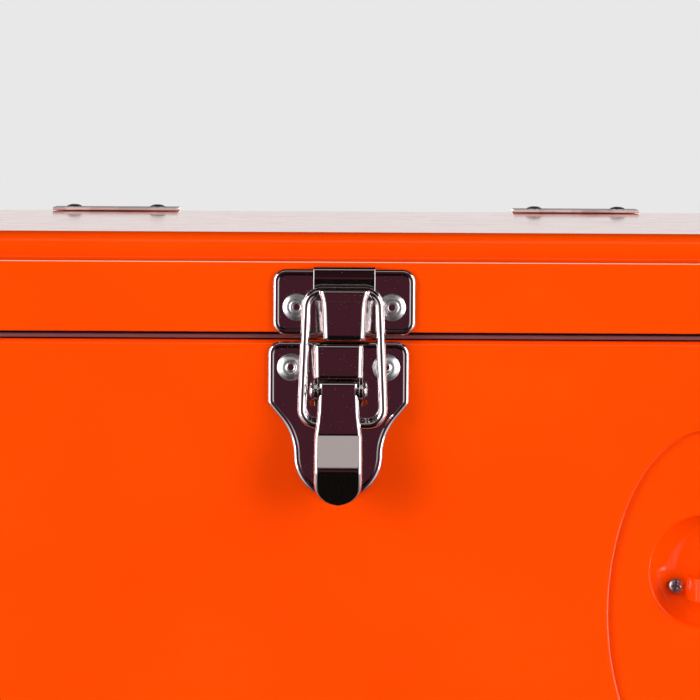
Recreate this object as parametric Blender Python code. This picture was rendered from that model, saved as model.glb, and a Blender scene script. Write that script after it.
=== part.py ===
"""Insulated steel picnic cooler chest: painted shell, moulded tub, hinged lid, toggle latch,
side handles, bottle opener and drain.

Metres, +Z up. The origin is the bottom centre of the whole chest's box, the front faces -Y.
"""
import math

import bmesh
import bpy
from mathutils import Matrix, Vector

# ---------------------------------------------------------------- driving dimensions
MM = 0.001

BODY_WIDTH = 424 * MM
BODY_DEPTH = 292 * MM
BODY_HEIGHT = 290 * MM
CORNER_RADIUS = 28 * MM
SHEET = 1.0 * MM            # painted steel of body, lid and pan
FIT = 0.3 * MM              # gap between pieces that touch
FOOT_HEIGHT = 12 * MM

BODY_WALL = 27 * MM         # shell face to the inside of the tub at its mouth
BODY_FLOOR = 30 * MM        # shell bottom to the tub's inner floor
TUB_SHEET = 2.0 * MM
TUB_DRAFT = 5 * MM          # how far the tub narrows from mouth to floor, each side
TUB_CORNER = 22 * MM
TUB_FILLET = 5 * MM
RIM_FLANGE = 9 * MM         # inward turned edge of the shell, top and bottom
RIM_RADIUS = 2.0 * MM
PAN_RIM = 12 * MM

LID_SEAM = 2.7 * MM         # shell rim to skirt bottom
LID_SKIRT = 23.7 * MM
LID_CROWN = 9.6 * MM
CROWN_INSET = 5.5 * MM
CROWN_RADIUS = 4.5 * MM     # round the top edge of the crown
CROWN_FOOT = 2.8 * MM       # hollow round the foot of the crown
LID_FLANGE = 6 * MM
LID_LINER = 1.8 * MM
GASKET_WIDTH = 8 * MM
LID_PLUG = 8 * MM           # how far the lid's liner reaches into the tub
PLUG_GAP = 3.0 * MM

HINGE_SPACING = 188 * MM
HINGE_LENGTH = 51 * MM
HINGE_SHEET = 1.2 * MM
HINGE_PIN = 3.0 * MM        # diameter
HINGE_DROP = 26 * MM        # body leaf below the pin
HINGE_KNUCKLES = 5
HINGE_LAP = 22 * MM         # how far the lid leaf lies over the lid's top
HINGE_RIVETS = 34 * MM      # apart, on each leaf

LATCH_SHEET = 1.2 * MM
KEEPER_WIDTH, KEEPER_HEIGHT = 47.8 * MM, 22.2 * MM
SHIELD_WIDTH, SHIELD_HEIGHT = 47.4 * MM, 53.4 * MM
SHIELD_SHIFT = -1.8 * MM    # the base sits this far off the keeper's centre line
RIVET_SPACING = 32 * MM
RIVET_HEAD = 4.6 * MM       # radius
RIVET_SHANK = 2.0 * MM      # radius
LEVER_WIDTH = 13.3 * MM
WIRE = 3.0 * MM             # diameter of the bail
PIVOT_DROP = 17.8 * MM      # lever pivot below the seam's middle
PIVOT_REACH = 8.0 * MM      # lever pivot out from the shell's face
CRANK = 11.5 * MM           # lever pivot to bail pivot, downwards
BAIL_REACH = 6.8 * MM       # bail pivot out from the shell's face
WIRE_REACH = 5.6 * MM       # hooked wire out from the shell's face
BAIL_CORNER = 5.0 * MM
BAIL_SHIFT = -0.4 * MM
LEVER_TOP = 14.4 * MM       # drops below the seam's middle, down the lever
LEVER_WEB_TOP = 15.4 * MM
RAMP_TOP = 33.4 * MM
LEVER_TIP = 55.9 * MM
LEVER_END = 12.1 * MM       # height of the rounded tip
LEVER_TIP_FALL = 4.0 * MM   # how far the tip falls back from the crest
LEVER_WIDE = LEVER_WIDTH + 2.5 * MM
LEVER_FACE = 11.2 * MM      # reach of the lever's face
BRIDGE_FACE = 11.4 * MM
BRIDGE_TOP, BRIDGE_BOTTOM = 2.2 * MM, 13.4 * MM
EAR_WIDTH = LEVER_WIDTH + 3.7 * MM
BAIL_LOW_WIDTH = EAR_WIDTH + 10.6 * MM      # between the middles of the side wires
BAIL_HIGH_WIDTH = BAIL_LOW_WIDTH - 3.4 * MM
EAR_BOTTOM = 21.6 * MM
EAR_EDGE = 2.6 * MM         # metal round the pivot hole
SHIELD_TOP_DROP = 1.7 * MM
SHIELD_END = 14.9 * MM      # radius of the rounded lower end
SHIELD_WAIST = 19.4 * MM    # radius of the hollow flanks
SHIELD_SHOULDER = 22.4 * MM
SHIELD_RIVET_DROP = 10.4 * MM
KEEPER_RIVET_RISE = 9.8 * MM
KEEPER_MIDDLE = 11.5 * MM
WIRE_SEAT = 13.2 * MM       # rises above the seam's middle, up the hook
HOOK_LIP = 15.7 * MM
HOOK_BOTTOM = -0.8 * MM
HOOK_FACE = 10.9 * MM
HOOK_BACK = 2.7 * MM
HOOK_STRIP = 19.4 * MM
HOOK_WIDTH = 15.6 * MM
BAIL_HEIGHT = 44.4 * MM     # between the middles of the two cross wires
LEVER_CREST = 15.6 * MM     # lever's furthest reach from the shell's face

OPENER_X = 122.9 * MM
DISH_DROP = 79.1 * MM       # dish centre below the seam's middle
DISH_RADIUS = 19.5 * MM
DISH_DEPTH = 8.5 * MM
OVAL_WIDTH, OVAL_HEIGHT = 68 * MM, 123 * MM
OVAL_DROP = 92.5 * MM
OVAL_DEPTH = 1.6 * MM
OVAL_SLOPE = 1.5 * MM
DISH_WALL = 3.5 * MM
OPENER_EAR = 4.2 * MM       # radius of the pad's ends
OPENER_PAD = 3.6 * MM
OPENER_BOW = 5.6 * MM       # half width of the strap
OPENER_REACH = 8 * MM       # strap's middle out from the shell's face
OPENER_STRAP = 2.6 * MM
SCREW_HEAD = 2.7 * MM       # radius
SCREW_SHANK = 1.5 * MM      # radius
SCREW_SINK = 2.2 * MM
OPENER_SCREWS = 20.2 * MM   # apart
OPENER_BELOW = 5.4 * MM     # screw line below the dish centre

HANDLE_SPAN = 112 * MM      # between the two pivots of one side handle
HANDLE_DROP = 46 * MM       # pivot line to the middle of the grip
HANDLE_ROD = 7 * MM         # diameter
HANDLE_GRIP = 17 * MM       # diameter
HANDLE_BELOW = 74 * MM      # pivot line below the shell rim
HANDLE_REACH = 14 * MM      # pivot line out from the shell's side
HANDLE_BEND = 9 * MM
HANDLE_LUG = 8 * MM
HANDLE_RIVETS = 40 * MM     # apart
GRIP_LENGTH = 84 * MM
BRACKET_SHEET = 1.5 * MM
BRACKET_HEIGHT = 24 * MM

DRAIN_BORE = 9 * MM
DRAIN_TUBE = 14 * MM        # outer diameter
DRAIN_NUT = 4 * MM          # nut's width round the tube
DRAIN_BACK = 70 * MM        # drain axis behind the chest's middle
DRAIN_FLANGE = 13 * MM
DRAIN_WING = 4 * MM

FOOT_INSET = 38 * MM
FOOT_RADIUS = 13 * MM
FOOT_STUD = 3.0 * MM        # radius
FOOT_BARB = 4.2 * MM        # radius
HINGE_RIVET_DROP = 16 * MM
HINGE_RIVET_EDGE = 6 * MM
SMALL_RIVET = 3.4 * MM      # head radius
TUB_EDGE = 3.5 * MM         # tub flange short of the shell's face

# ---------------------------------------------------------------- places worked out from them
HINGE_CURL = HINGE_PIN / 2 + FIT + HINGE_SHEET / 2            # middle of the curled sheet
HINGE_BACK = FIT + HINGE_SHEET / 2 + HINGE_CURL               # pin axis behind the shell
REAR_REACH = HINGE_BACK + HINGE_CURL + HINGE_SHEET / 2
BODY_SHIFT = (LEVER_CREST - REAR_REACH) / 2

FRONT = -BODY_DEPTH / 2 + BODY_SHIFT
REAR = BODY_DEPTH / 2 + BODY_SHIFT
SIDE = BODY_WIDTH / 2
BASE = FOOT_HEIGHT
RIM = BASE + BODY_HEIGHT
SEAM = RIM + LID_SEAM / 2
SKIRT_BOTTOM = RIM + LID_SEAM
SHOULDER = SKIRT_BOTTOM + LID_SKIRT
LID_TOP = SHOULDER + LID_CROWN

TUB_FLANGE_BOTTOM = RIM + FIT
TUB_FLANGE_TOP = TUB_FLANGE_BOTTOM + 1.5 * MM
TUB_FLOOR = BASE + BODY_FLOOR
DRAIN_Z = TUB_FLOOR + TUB_FILLET + DRAIN_TUBE / 2 + DRAIN_NUT + 2 * FIT
DRAIN_Y = BODY_SHIFT + DRAIN_BACK
PIVOT_Z = SEAM - PIVOT_DROP
PIVOT_Y = FRONT - PIVOT_REACH
BAIL_Z = PIVOT_Z - CRANK
BAIL_Y = FRONT - BAIL_REACH
DISH_Z = SEAM - DISH_DROP
OVAL_Z = SEAM - OVAL_DROP
OPENER_Z = DISH_Z - OPENER_BELOW
HANDLE_Z = RIM - HANDLE_BELOW

LATCH_FACE = FIT + LATCH_SHEET          # front of the latch plates, out from the shell
LID_PIVOT = (0, REAR + HINGE_BACK, SEAM)
CORNER_STEPS = 4
ROUND = 16

ORANGE = (1.0, 0.075, 0.0)
CHROME = (0.72, 0.70, 0.71)
WHITE = (0.82, 0.82, 0.79)
FOAM = (0.83, 0.74, 0.47)
RUBBER = (0.03, 0.03, 0.03)
ALUMINIUM = (0.62, 0.62, 0.62)


# ---------------------------------------------------------------- tools
def clear_scene():
    for obj in list(bpy.data.objects):
        bpy.data.objects.remove(obj)


def material(name, colour, roughness, metallic):
    mat = bpy.data.materials.new(name)
    mat.use_nodes = True
    shader = mat.node_tree.nodes["Principled BSDF"]
    shader.inputs["Base Color"].default_value = (*colour, 1.0)
    shader.inputs["Roughness"].default_value = roughness
    shader.inputs["Metallic"].default_value = metallic
    mat.diffuse_color = (*colour, 1.0)
    return mat


FINISHES = {
    "paint": (ORANGE, 0.12, 0.0),
    "chrome": (CHROME, 0.08, 1.0),
    "plastic": (WHITE, 0.4, 0.0),
    "foam": (FOAM, 0.9, 0.0),
    "rubber": (RUBBER, 0.7, 0.0),
    "aluminium": (ALUMINIUM, 0.3, 1.0),
    "steel": (CHROME, 0.35, 1.0),
}


def add_object(name, bm, finish, pivot=(0, 0, 0), smooth=True):
    """One closed body, with its own material and its origin at pivot."""
    bmesh.ops.recalc_face_normals(bm, faces=bm.faces)
    bmesh.ops.translate(bm, verts=bm.verts, vec=-Vector(pivot))
    mesh = bpy.data.meshes.new(name)
    bm.to_mesh(mesh)
    bm.free()
    if smooth:
        mesh.shade_smooth()
        mesh.set_sharp_from_angle(angle=math.radians(35))
    obj = bpy.data.objects.new(name, mesh)
    obj.location = pivot
    bpy.context.scene.collection.objects.link(obj)
    if finish:
        colour, roughness, metallic = FINISHES[finish]
        obj.data.materials.append(material(name + "_" + finish, colour, roughness, metallic))
    return obj


def add_tool(name, bm):
    """A cutter or an addition for a Boolean, which isn't a piece of the chest."""
    obj = add_object(name, bm, None, smooth=False)
    obj.hide_render = True
    obj.display_type = "WIRE"
    return obj


def boolean(obj, tool, operation="DIFFERENCE"):
    modifier = obj.modifiers.new(operation.lower() + "_" + tool.name, "BOOLEAN")
    modifier.object = tool
    modifier.operation = operation
    modifier.solver = "EXACT"


def arc(centre, radius, start, end, steps=4):
    """Points on an arc, angles in degrees."""
    points = []
    for i in range(steps + 1):
        angle = math.radians(start + (end - start) * i / steps)
        points.append((centre[0] + radius * math.cos(angle), centre[1] + radius * math.sin(angle)))
    return points


def rounded_outline(width, height, radius, steps=4):
    """Points of a rounded rectangle round (0, 0), anticlockwise."""
    w, h = width / 2 - radius, height / 2 - radius
    points = []
    for cx, cy, start in ((w, -h, -90), (w, h, 0), (-w, h, 90), (-w, -h, 180)):
        points += arc((cx, cy), radius, start, start + 90, steps)
    return points


def loft(rings, closed=False):
    """Skin rings of equal length; the ends are capped, or the last ring joins the first."""
    bm = bmesh.new()
    rows = [[bm.verts.new(point) for point in ring] for ring in rings]
    pairs = list(zip(rows, rows[1:]))
    if closed:
        pairs.append((rows[-1], rows[0]))
    for low, high in pairs:
        for i in range(len(low)):
            j = (i + 1) % len(low)
            bm.faces.new((low[i], low[j], high[j], high[i]))
    if not closed:
        bm.faces.new(rows[0])
        bm.faces.new(rows[-1])
    return bm


def plan_ring(inset, z, radius=None):
    """The chest's plan outline drawn in by inset, at height z."""
    radius = radius or max(CORNER_RADIUS - inset, 3 * MM)
    outline = rounded_outline(BODY_WIDTH - 2 * inset, BODY_DEPTH - 2 * inset, radius, CORNER_STEPS)
    return [(x, y + BODY_SHIFT, z) for x, y in outline]


def plan_loft(section, closed=False):
    """Skin plan outlines; a section point is (inset, z) or (inset, z, corner radius)."""
    return loft([plan_ring(*point) for point in section], closed)


def prism_at(outline, place, start, end):
    """Extrude an outline; place turns its (u, v) and a depth w into a point."""
    return loft([[place(u, v, w) for u, v in outline] for w in (start, end)])


def sheet_outline(path, thickness):
    """Outline of a bent sheet whose middle follows path, a list of (u, v)."""
    left, right = [], []
    for i, point in enumerate(path):
        before = Vector(path[max(i - 1, 0)])
        after = Vector(path[min(i + 1, len(path) - 1)])
        here = Vector(point)
        a = (here - before).normalized() if i else (after - here).normalized()
        b = (after - here).normalized() if i < len(path) - 1 else a
        normal = Vector((-(a + b).y, (a + b).x)).normalized()
        offset = normal * (thickness / 2) / max(normal.dot(Vector((-a.y, a.x))), 0.5)
        left.append(tuple(here + offset))
        right.append(tuple(here - offset))
    return left + right[::-1]


def bend(path, radius, steps=3):
    """Round the inner corners of a path of (u, v)."""
    points = [path[0]]
    for i in range(1, len(path) - 1):
        corner = Vector(path[i])
        a = (Vector(path[i - 1]) - corner)
        b = (Vector(path[i + 1]) - corner)
        half = a.angle(b) / 2
        reach = min(radius / math.tan(half), 0.45 * a.length, 0.45 * b.length)
        start, end = corner + a.normalized() * reach, corner + b.normalized() * reach
        for k in range(steps + 1):
            t = k / steps
            points.append(tuple(start * (1 - t) ** 2 + corner * 2 * t * (1 - t) + end * t ** 2))
    points.append(path[-1])
    return points


def lathe(profile, axis_place, steps=ROUND):
    """Turn a profile of (radius, height) about an axis; axis_place maps (u, v, w), w along it."""
    rings = []
    for radius, height in profile:
        ring = []
        for i in range(steps):
            angle = 2 * math.pi * i / steps
            ring.append(axis_place(radius * math.cos(angle), radius * math.sin(angle), height))
        rings.append(ring)
    return rings


def turned(profile, axis_place, steps=ROUND, hollow=False):
    return loft(lathe(profile, axis_place, steps), closed=hollow)


def along_x(x0, y0, z0, sign=1):
    """A place function: turns (u, v, w) into a point, with w along X."""
    def place(u, v, w):
        return (x0 + sign * w, y0 + u, z0 + v)
    return place


def along_y(x0, y0, z0, sign=1):
    def place(u, v, w):
        return (x0 + u, y0 + sign * w, z0 + v)
    return place


def along_z(x0, y0, z0, sign=1):
    def place(u, v, w):
        return (x0 + u, y0 + v, z0 + sign * w)
    return place


def upright(x0, z0=SEAM):
    """A place function for plan sections at the front: v is the reach, w goes up."""
    def place(u, v, w):
        return (x0 + u, FRONT - v, z0 + w)
    return place


def sideways(x0, y0, z0, sign=1):
    """A place function for side sections: u is along sign * Y, v up and w along X."""
    def place(u, v, w):
        return (x0 + w, y0 + sign * u, z0 + v)
    return place


def merge(target, extra):
    """Move extra's geometry into target, as a separate body."""
    mesh = bpy.data.meshes.new("extra")
    extra.to_mesh(mesh)
    extra.free()
    target.from_mesh(mesh)
    bpy.data.meshes.remove(mesh)
    return target


def bodies(parts):
    """One bmesh that holds several bodies clear of each other, for a cutter."""
    whole = bmesh.new()
    for part in parts:
        merge(whole, part)
    return whole


def box(low, high):
    bm = bmesh.new()
    bmesh.ops.create_cube(bm, size=1.0)
    low, high = Vector(low), Vector(high)
    matrix = Matrix.Translation((low + high) / 2) @ Matrix.Diagonal((*(high - low), 1.0))
    bmesh.ops.transform(bm, matrix=matrix, verts=bm.verts)
    return bm


def tube(points, radius, sides=10, closed=False):
    """A round rod along points, ends capped or joined."""
    count = len(points)
    rings = []
    side = None
    for i, point in enumerate(points):
        here = Vector(point)
        before = Vector(points[i - 1]) if (i or closed) else here
        after = Vector(points[(i + 1) % count]) if (i < count - 1 or closed) else here
        ahead = ((after - here).normalized() if after != here else Vector())
        ahead += ((here - before).normalized() if before != here else Vector())
        ahead.normalize()
        if side is None:
            side = ahead.orthogonal().normalized()
        side = (side - ahead * side.dot(ahead)).normalized()
        up = ahead.cross(side)
        spread = 1.0
        if before != here and after != here:
            spread = 1.0 / max((after - here).normalized().dot(ahead), 0.7)
        ring = []
        for k in range(sides):
            angle = 2 * math.pi * (k + 0.5) / sides
            ring.append(here + (side * math.cos(angle) + up * math.sin(angle)) * radius)
        rings.append(ring)
    return loft(rings, closed)


# ---------------------------------------------------------------- fasteners
def fastener_sites():
    """Name: (place with w outwards from the sheet's face, thickness of what is fixed)."""
    body, lid = {}, {}
    half = RIVET_SPACING / 2
    for side, sign in (("left", -1), ("right", 1)):
        x = sign * half
        lid["keeper_rivet_" + side] = (along_y(x, FRONT, SEAM + KEEPER_RIVET_RISE, -1), LATCH_FACE)
        z = SEAM - SHIELD_RIVET_DROP
        body["latch_rivet_" + side] = (along_y(SHIELD_SHIFT + x, FRONT, z, -1), LATCH_FACE)
        hinge_x = sign * HINGE_SPACING / 2
        for end, along in (("outer", sign), ("inner", -sign)):
            x = hinge_x + along * HINGE_RIVETS / 2
            name = "hinge_rivet_" + side + "_" + end
            stack = FIT + HINGE_SHEET
            z = SEAM - HINGE_RIVET_DROP
            body["body_" + name] = (along_y(x, REAR, z, 1), stack)
            y = REAR - HINGE_LAP + HINGE_RIVET_EDGE
            lid["lid_" + name] = (along_z(x, y, LID_TOP), stack)
        for end, along in (("front", -1), ("rear", 1)):
            y = BODY_SHIFT + along * HANDLE_RIVETS / 2
            place = along_x(sign * SIDE, y, HANDLE_Z, sign)
            body["handle_rivet_" + side + "_" + end] = (place, FIT + BRACKET_SHEET)
    return body, lid


def rivet(name, place, stack, head, sides, pivot):
    """A blind rivet: domed head with a hollow, shank, and a tail behind the sheet."""
    seat = stack + FIT
    top = seat + 0.42 * head
    back = -SHEET - FIT
    profile = [
        (0.22 * head, top - 0.3 * head), (0.24 * head, top), (0.5 * head, top - 0.02 * head),
        (0.85 * head, seat + 0.24 * head), (head, seat + 0.08 * head), (head, seat),
        (RIVET_SHANK, seat), (RIVET_SHANK, back), (RIVET_SHANK + 0.7 * MM, back - 0.6 * MM),
        (RIVET_SHANK, back - 3.0 * MM),
    ]
    add_object(name, turned(profile, place, sides), "aluminium", pivot)


def fastener_tools(name, sites, extra_holes=()):
    """Cutters for the holes through plate and sheet, and for the pockets in the foam."""
    shank = RIVET_SHANK + FIT
    wide = shank + 1.2 * MM
    holes, pockets = [], []
    for place, stack in sites.values():
        holes.append(turned([(shank, stack + 1 * MM), (shank, -SHEET - 1 * MM)], place, 10))
        pockets.append(turned([(wide, 0), (wide, -SHEET - 6 * MM)], place, 8))
    for place, radius, start, end in extra_holes:
        holes.append(turned([(radius, start), (radius, end)], place, 16))
    return add_tool(name + "_holes", bodies(holes)), add_tool(name + "_pockets", bodies(pockets))


# ---------------------------------------------------------------- front pressing
def oval_ring(half_width, half_height, y, z, steps=28):
    ring = []
    for i in range(steps):
        angle = 2 * math.pi * i / steps
        ring.append((OPENER_X + half_width * math.cos(angle), y, z + half_height * math.sin(angle)))
    return ring


def oval_tool(name, grow):
    """The oval pressing's hollow, grown by grow towards the foam."""
    a, b = OVAL_WIDTH / 2 + grow, OVAL_HEIGHT / 2 + grow
    mouth = FRONT + (SHEET / 2 if grow else -1 * MM)
    floor = FRONT + OVAL_DEPTH + grow
    slope = OVAL_SLOPE
    rings = [oval_ring(a, b, mouth, OVAL_Z), oval_ring(a, b, FRONT + 0.55 * SHEET, OVAL_Z)]
    rings.append(oval_ring(a - slope, b - slope, floor, OVAL_Z))
    return add_tool(name, loft(rings))


def dish_tool(name, grow):
    """The round dish inside the oval: rounded wall, flat floor."""
    radius = DISH_RADIUS + grow
    mouth = OVAL_DEPTH - 0.5 * MM if not grow else SHEET / 2
    depth = DISH_DEPTH + grow - OVAL_DEPTH
    profile = [(radius, mouth)]
    for i in range(4):
        angle = math.radians(90 * i / 3)
        inner = radius - DISH_WALL * (1 - math.cos(angle))
        profile.append((inner, OVAL_DEPTH + depth * math.sin(angle)))
    place = along_y(OPENER_X, FRONT, DISH_Z)
    return add_tool(name, turned(profile, place, 24))


# ---------------------------------------------------------------- body
def make_body_shell(holes, oval, dish):
    r, low, high = RIM_RADIUS, BASE, RIM
    inner = r - SHEET
    section = [(RIM_FLANGE, low)]
    section += arc((r, low + r), r, 270, 180, 2)
    section += arc((r, high - r), r, 180, 90, 2)
    section += [(RIM_FLANGE, high), (RIM_FLANGE, high - SHEET)]
    section += arc((r, high - r), inner, 90, 180, 1)
    section += arc((r, low + r), inner, 180, 270, 1)
    section += [(RIM_FLANGE, low + SHEET)]
    shell = add_object("body_shell", plan_loft(section, closed=True), "paint")
    boolean(shell, oval_tool("oval_back", SHEET), "UNION")
    boolean(shell, dish_tool("dish_back", SHEET), "UNION")
    boolean(shell, oval)
    boolean(shell, dish)
    boolean(shell, holes)


def make_base_pan():
    edge = SHEET + FIT
    low = BASE + SHEET + FIT
    r = 2.5 * MM
    section = [
        (edge + r, low), (edge, low + r), (edge, low + PAN_RIM),
        (edge + SHEET, low + PAN_RIM), (edge + SHEET, low + r), (edge + r, low + SHEET),
    ]
    pan = add_object("base_pan", plan_loft(section), "steel")
    studs = [turned([(FOOT_STUD + FIT, low - 1 * MM), (FOOT_STUD + FIT, low + 3 * MM)], place, 12)
             for place in foot_places().values()]
    boolean(pan, add_tool("pan_holes", bodies(studs)))


def tub_section(grow, top):
    """The tub's inside from floor to mouth, grown outwards by grow."""
    floor = BODY_WALL + TUB_DRAFT
    corner = TUB_CORNER + grow
    points = []
    reach = TUB_FILLET + grow
    for i in range(3):
        angle = math.radians(90 * i / 2)
        inset = floor + TUB_FILLET - reach * math.sin(angle)
        z = TUB_FLOOR + TUB_FILLET - reach * math.cos(angle)
        radius = max(corner - TUB_FILLET * (1 - math.sin(angle)), 6 * MM)
        points.append((inset, z, radius))
    points.append((BODY_WALL - grow, top, corner))
    return points


def tub_inset(z):
    """Inset of the tub's inner wall at height z."""
    foot = TUB_FLOOR + TUB_FILLET
    return BODY_WALL + TUB_DRAFT * (TUB_FLANGE_TOP - z) / (TUB_FLANGE_TOP - foot)


def make_body_insulation(pockets, drain_hole):
    pan_low = BASE + SHEET + FIT
    low = pan_low + SHEET + FIT
    edge = 2 * (SHEET + FIT)
    r = 3 * MM
    top = RIM - SHEET - FIT
    section = [(edge + r, low), (edge, low + r), (edge, pan_low + PAN_RIM + FIT)]
    section += [(SHEET + FIT, pan_low + PAN_RIM + FIT), (SHEET + FIT, top - RIM_RADIUS)]
    section += [(RIM_RADIUS + FIT, top)]
    section += tub_section(TUB_SHEET + FIT, top)[::-1]
    foam = add_object("body_insulation", plan_loft(section), "foam")
    boolean(foam, oval_tool("oval_relief", SHEET + FIT))
    boolean(foam, dish_tool("dish_relief", SHEET + FIT))
    boolean(foam, pockets)
    boolean(foam, drain_hole)
    studs = [turned([(FOOT_BARB + 2 * FIT, BASE), (FOOT_BARB + 2 * FIT, low + 5 * MM)], place, 8)
             for place in foot_places().values()]
    boolean(foam, add_tool("foot_pockets", bodies(studs)))


def make_liner_tub(drain_hole):
    section = tub_section(TUB_SHEET, TUB_FLANGE_BOTTOM)
    section += [(TUB_EDGE, TUB_FLANGE_BOTTOM), (TUB_EDGE, TUB_FLANGE_TOP)]
    inside = tub_section(0, TUB_FLANGE_TOP)
    section += inside[::-1]
    tub = add_object("liner_tub", plan_loft(section), "plastic")
    boolean(tub, drain_hole)


def foot_places():
    places = {}
    for side, sx in (("left", -1), ("right", 1)):
        for end, sy in (("front", -1), ("rear", 1)):
            x = sx * (SIDE - FOOT_INSET)
            y = BODY_SHIFT + sy * (BODY_DEPTH / 2 - FOOT_INSET)
            places["foot_" + end + "_" + side] = along_z(x, y, 0)
    return places


def make_feet():
    """Rubber feet, each pushed through the pan with a barbed stud."""
    pan = BASE + SHEET + FIT
    profile = [
        (FOOT_RADIUS - 1.5 * MM, 0), (FOOT_RADIUS, 1.2 * MM), (FOOT_RADIUS - 1 * MM, BASE - FIT),
        (FOOT_BARB + 2.5 * MM, BASE - FIT), (FOOT_BARB + 2.5 * MM, pan - FIT),
        (FOOT_STUD, pan - FIT), (FOOT_STUD, pan + SHEET + FIT),
        (FOOT_BARB, pan + SHEET + FIT), (FOOT_STUD, pan + SHEET + 3.5 * MM),
    ]
    for name, place in foot_places().items():
        add_object(name, turned(profile, place, 12), "rubber")


# ---------------------------------------------------------------- drain
def drain_place():
    return along_x(-SIDE, DRAIN_Y, DRAIN_Z, -1)


def make_drain():
    place = drain_place()
    bore, tube_radius = DRAIN_BORE / 2, DRAIN_TUBE / 2
    inside = -tub_inset(DRAIN_Z)
    slack = 0.6 * MM
    washer, nut = 1.8 * MM, 4 * MM
    flange, stub = 3 * MM, 10 * MM
    end = inside - slack - washer - nut - 2 * MM
    spout = [
        (bore, end), (tube_radius, end), (tube_radius, FIT), (DRAIN_FLANGE, FIT),
        (DRAIN_FLANGE, flange), (tube_radius, flange), (tube_radius, stub), (bore, stub),
    ]
    add_object("drain_spout", turned(spout, place, hollow=True), "plastic")
    hole = tube_radius + FIT
    start = inside - slack
    wide = hole + DRAIN_NUT - 0.5 * MM
    ring = [(hole, start), (wide, start), (wide, start - washer), (hole, start - washer)]
    add_object("drain_washer", turned(ring, place, hollow=True), "rubber")
    start -= washer + FIT
    wide = hole + DRAIN_NUT
    ring = [(hole, start), (wide, start), (wide, start - nut), (hole, start - nut)]
    add_object("drain_nut", turned(ring, place, hollow=True), "plastic")
    low, roof, top = flange + FIT, stub + FIT, stub + FIT + 2.2 * MM
    cap = [
        (hole, roof), (hole, low), (hole + 2.6 * MM, low),
        (hole + 2.6 * MM, top - 0.8 * MM), (hole + 1.8 * MM, top),
    ]
    shift = Vector(place(0, 0, 0))
    cap_piece = add_object("drain_cap", turned(cap, place), "rubber", pivot=shift)
    wing = box(
        (-SIDE - top - DRAIN_WING, DRAIN_Y - tube_radius, DRAIN_Z - 1.6 * MM),
        (-SIDE - top + 0.6 * MM, DRAIN_Y + tube_radius, DRAIN_Z + 1.6 * MM),
    )
    boolean(cap_piece, add_tool("drain_cap_wing", wing), "UNION")


# ---------------------------------------------------------------- bottle opener
def make_opener():
    """Cast claw: a pad with two sunk screws and a bowed strap with a tooth."""
    half = OPENER_SCREWS / 2
    seat = -DISH_DEPTH + FIT
    pad_height = 2 * OPENER_EAR
    pad = rounded_outline(OPENER_SCREWS + pad_height, pad_height, OPENER_EAR - 0.01 * MM, 5)
    place = along_y(OPENER_X, FRONT, OPENER_Z, -1)
    claw = add_object("opener_claw", prism_at(pad, place, seat, seat + OPENER_PAD), "paint")
    start = seat + OPENER_PAD - 1 * MM
    bow = []
    for i in range(13):
        angle = math.pi * i / 12
        bow.append((-OPENER_BOW * math.cos(angle), start + (OPENER_REACH - start) * math.sin(angle)))
    strap = sheet_outline(bow, OPENER_STRAP)
    across = upright(OPENER_X, OPENER_Z)
    tall = OPENER_EAR - 0.2 * MM
    boolean(claw, add_tool("opener_strap", prism_at(strap, across, -tall, tall)), "UNION")
    back = OPENER_REACH - OPENER_STRAP / 2
    tooth = box(
        (OPENER_X - 3 * MM, FRONT - back - 0.5 * MM, OPENER_Z - tall + 0.3 * MM),
        (OPENER_X + 3 * MM, FRONT - back + 3 * MM, OPENER_Z - tall + 3 * MM),
    )
    boolean(claw, add_tool("opener_tooth", tooth), "UNION")
    sinks = []
    for sign in (-1, 1):
        at = along_y(OPENER_X + sign * half, FRONT, OPENER_Z, -1)
        sinks.append(turned([
            (SCREW_HEAD + FIT, 1 * MM), (SCREW_HEAD + FIT, seat + OPENER_PAD - SCREW_SINK),
            (SCREW_SHANK + FIT, seat + OPENER_PAD - SCREW_SINK), (SCREW_SHANK + FIT, seat - 1 * MM),
        ], at, 16))
    boolean(claw, add_tool("opener_sinks", bodies(sinks)))
    for side, sign in (("left", -1), ("right", 1)):
        at = along_y(OPENER_X + sign * half, FRONT, OPENER_Z, -1)
        rest = seat + OPENER_PAD - SCREW_SINK + FIT
        profile = [
            (SCREW_HEAD * 0.8, rest + 1.4 * MM), (SCREW_HEAD, rest + 0.9 * MM), (SCREW_HEAD, rest),
            (SCREW_SHANK, rest), (SCREW_SHANK, seat - SHEET - 5 * MM),
        ]
        add_object("opener_screw_" + side, turned(profile, at, 12), "steel")


# ---------------------------------------------------------------- latch
def channel_outline(half_width, front, back, thickness, corner):
    """Plan section (u, reach) of a folded channel, open towards the chest."""
    points = [(half_width, back)]
    points += arc((half_width - corner, front - corner), corner, 0, 90, 3)
    points += arc((-half_width + corner, front - corner), corner, 90, 180, 3)
    points += [(-half_width, back), (-half_width + thickness, back)]
    points += [(-half_width + thickness, front - thickness), (half_width - thickness, front - thickness)]
    points += [(half_width - thickness, back)]
    return points


def channel(x0, half_width, front, back, top, bottom, corner=1.8 * MM):
    outline = channel_outline(half_width, front, back, LATCH_SHEET, corner)
    return prism_at(outline, upright(x0), bottom, top)


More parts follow.
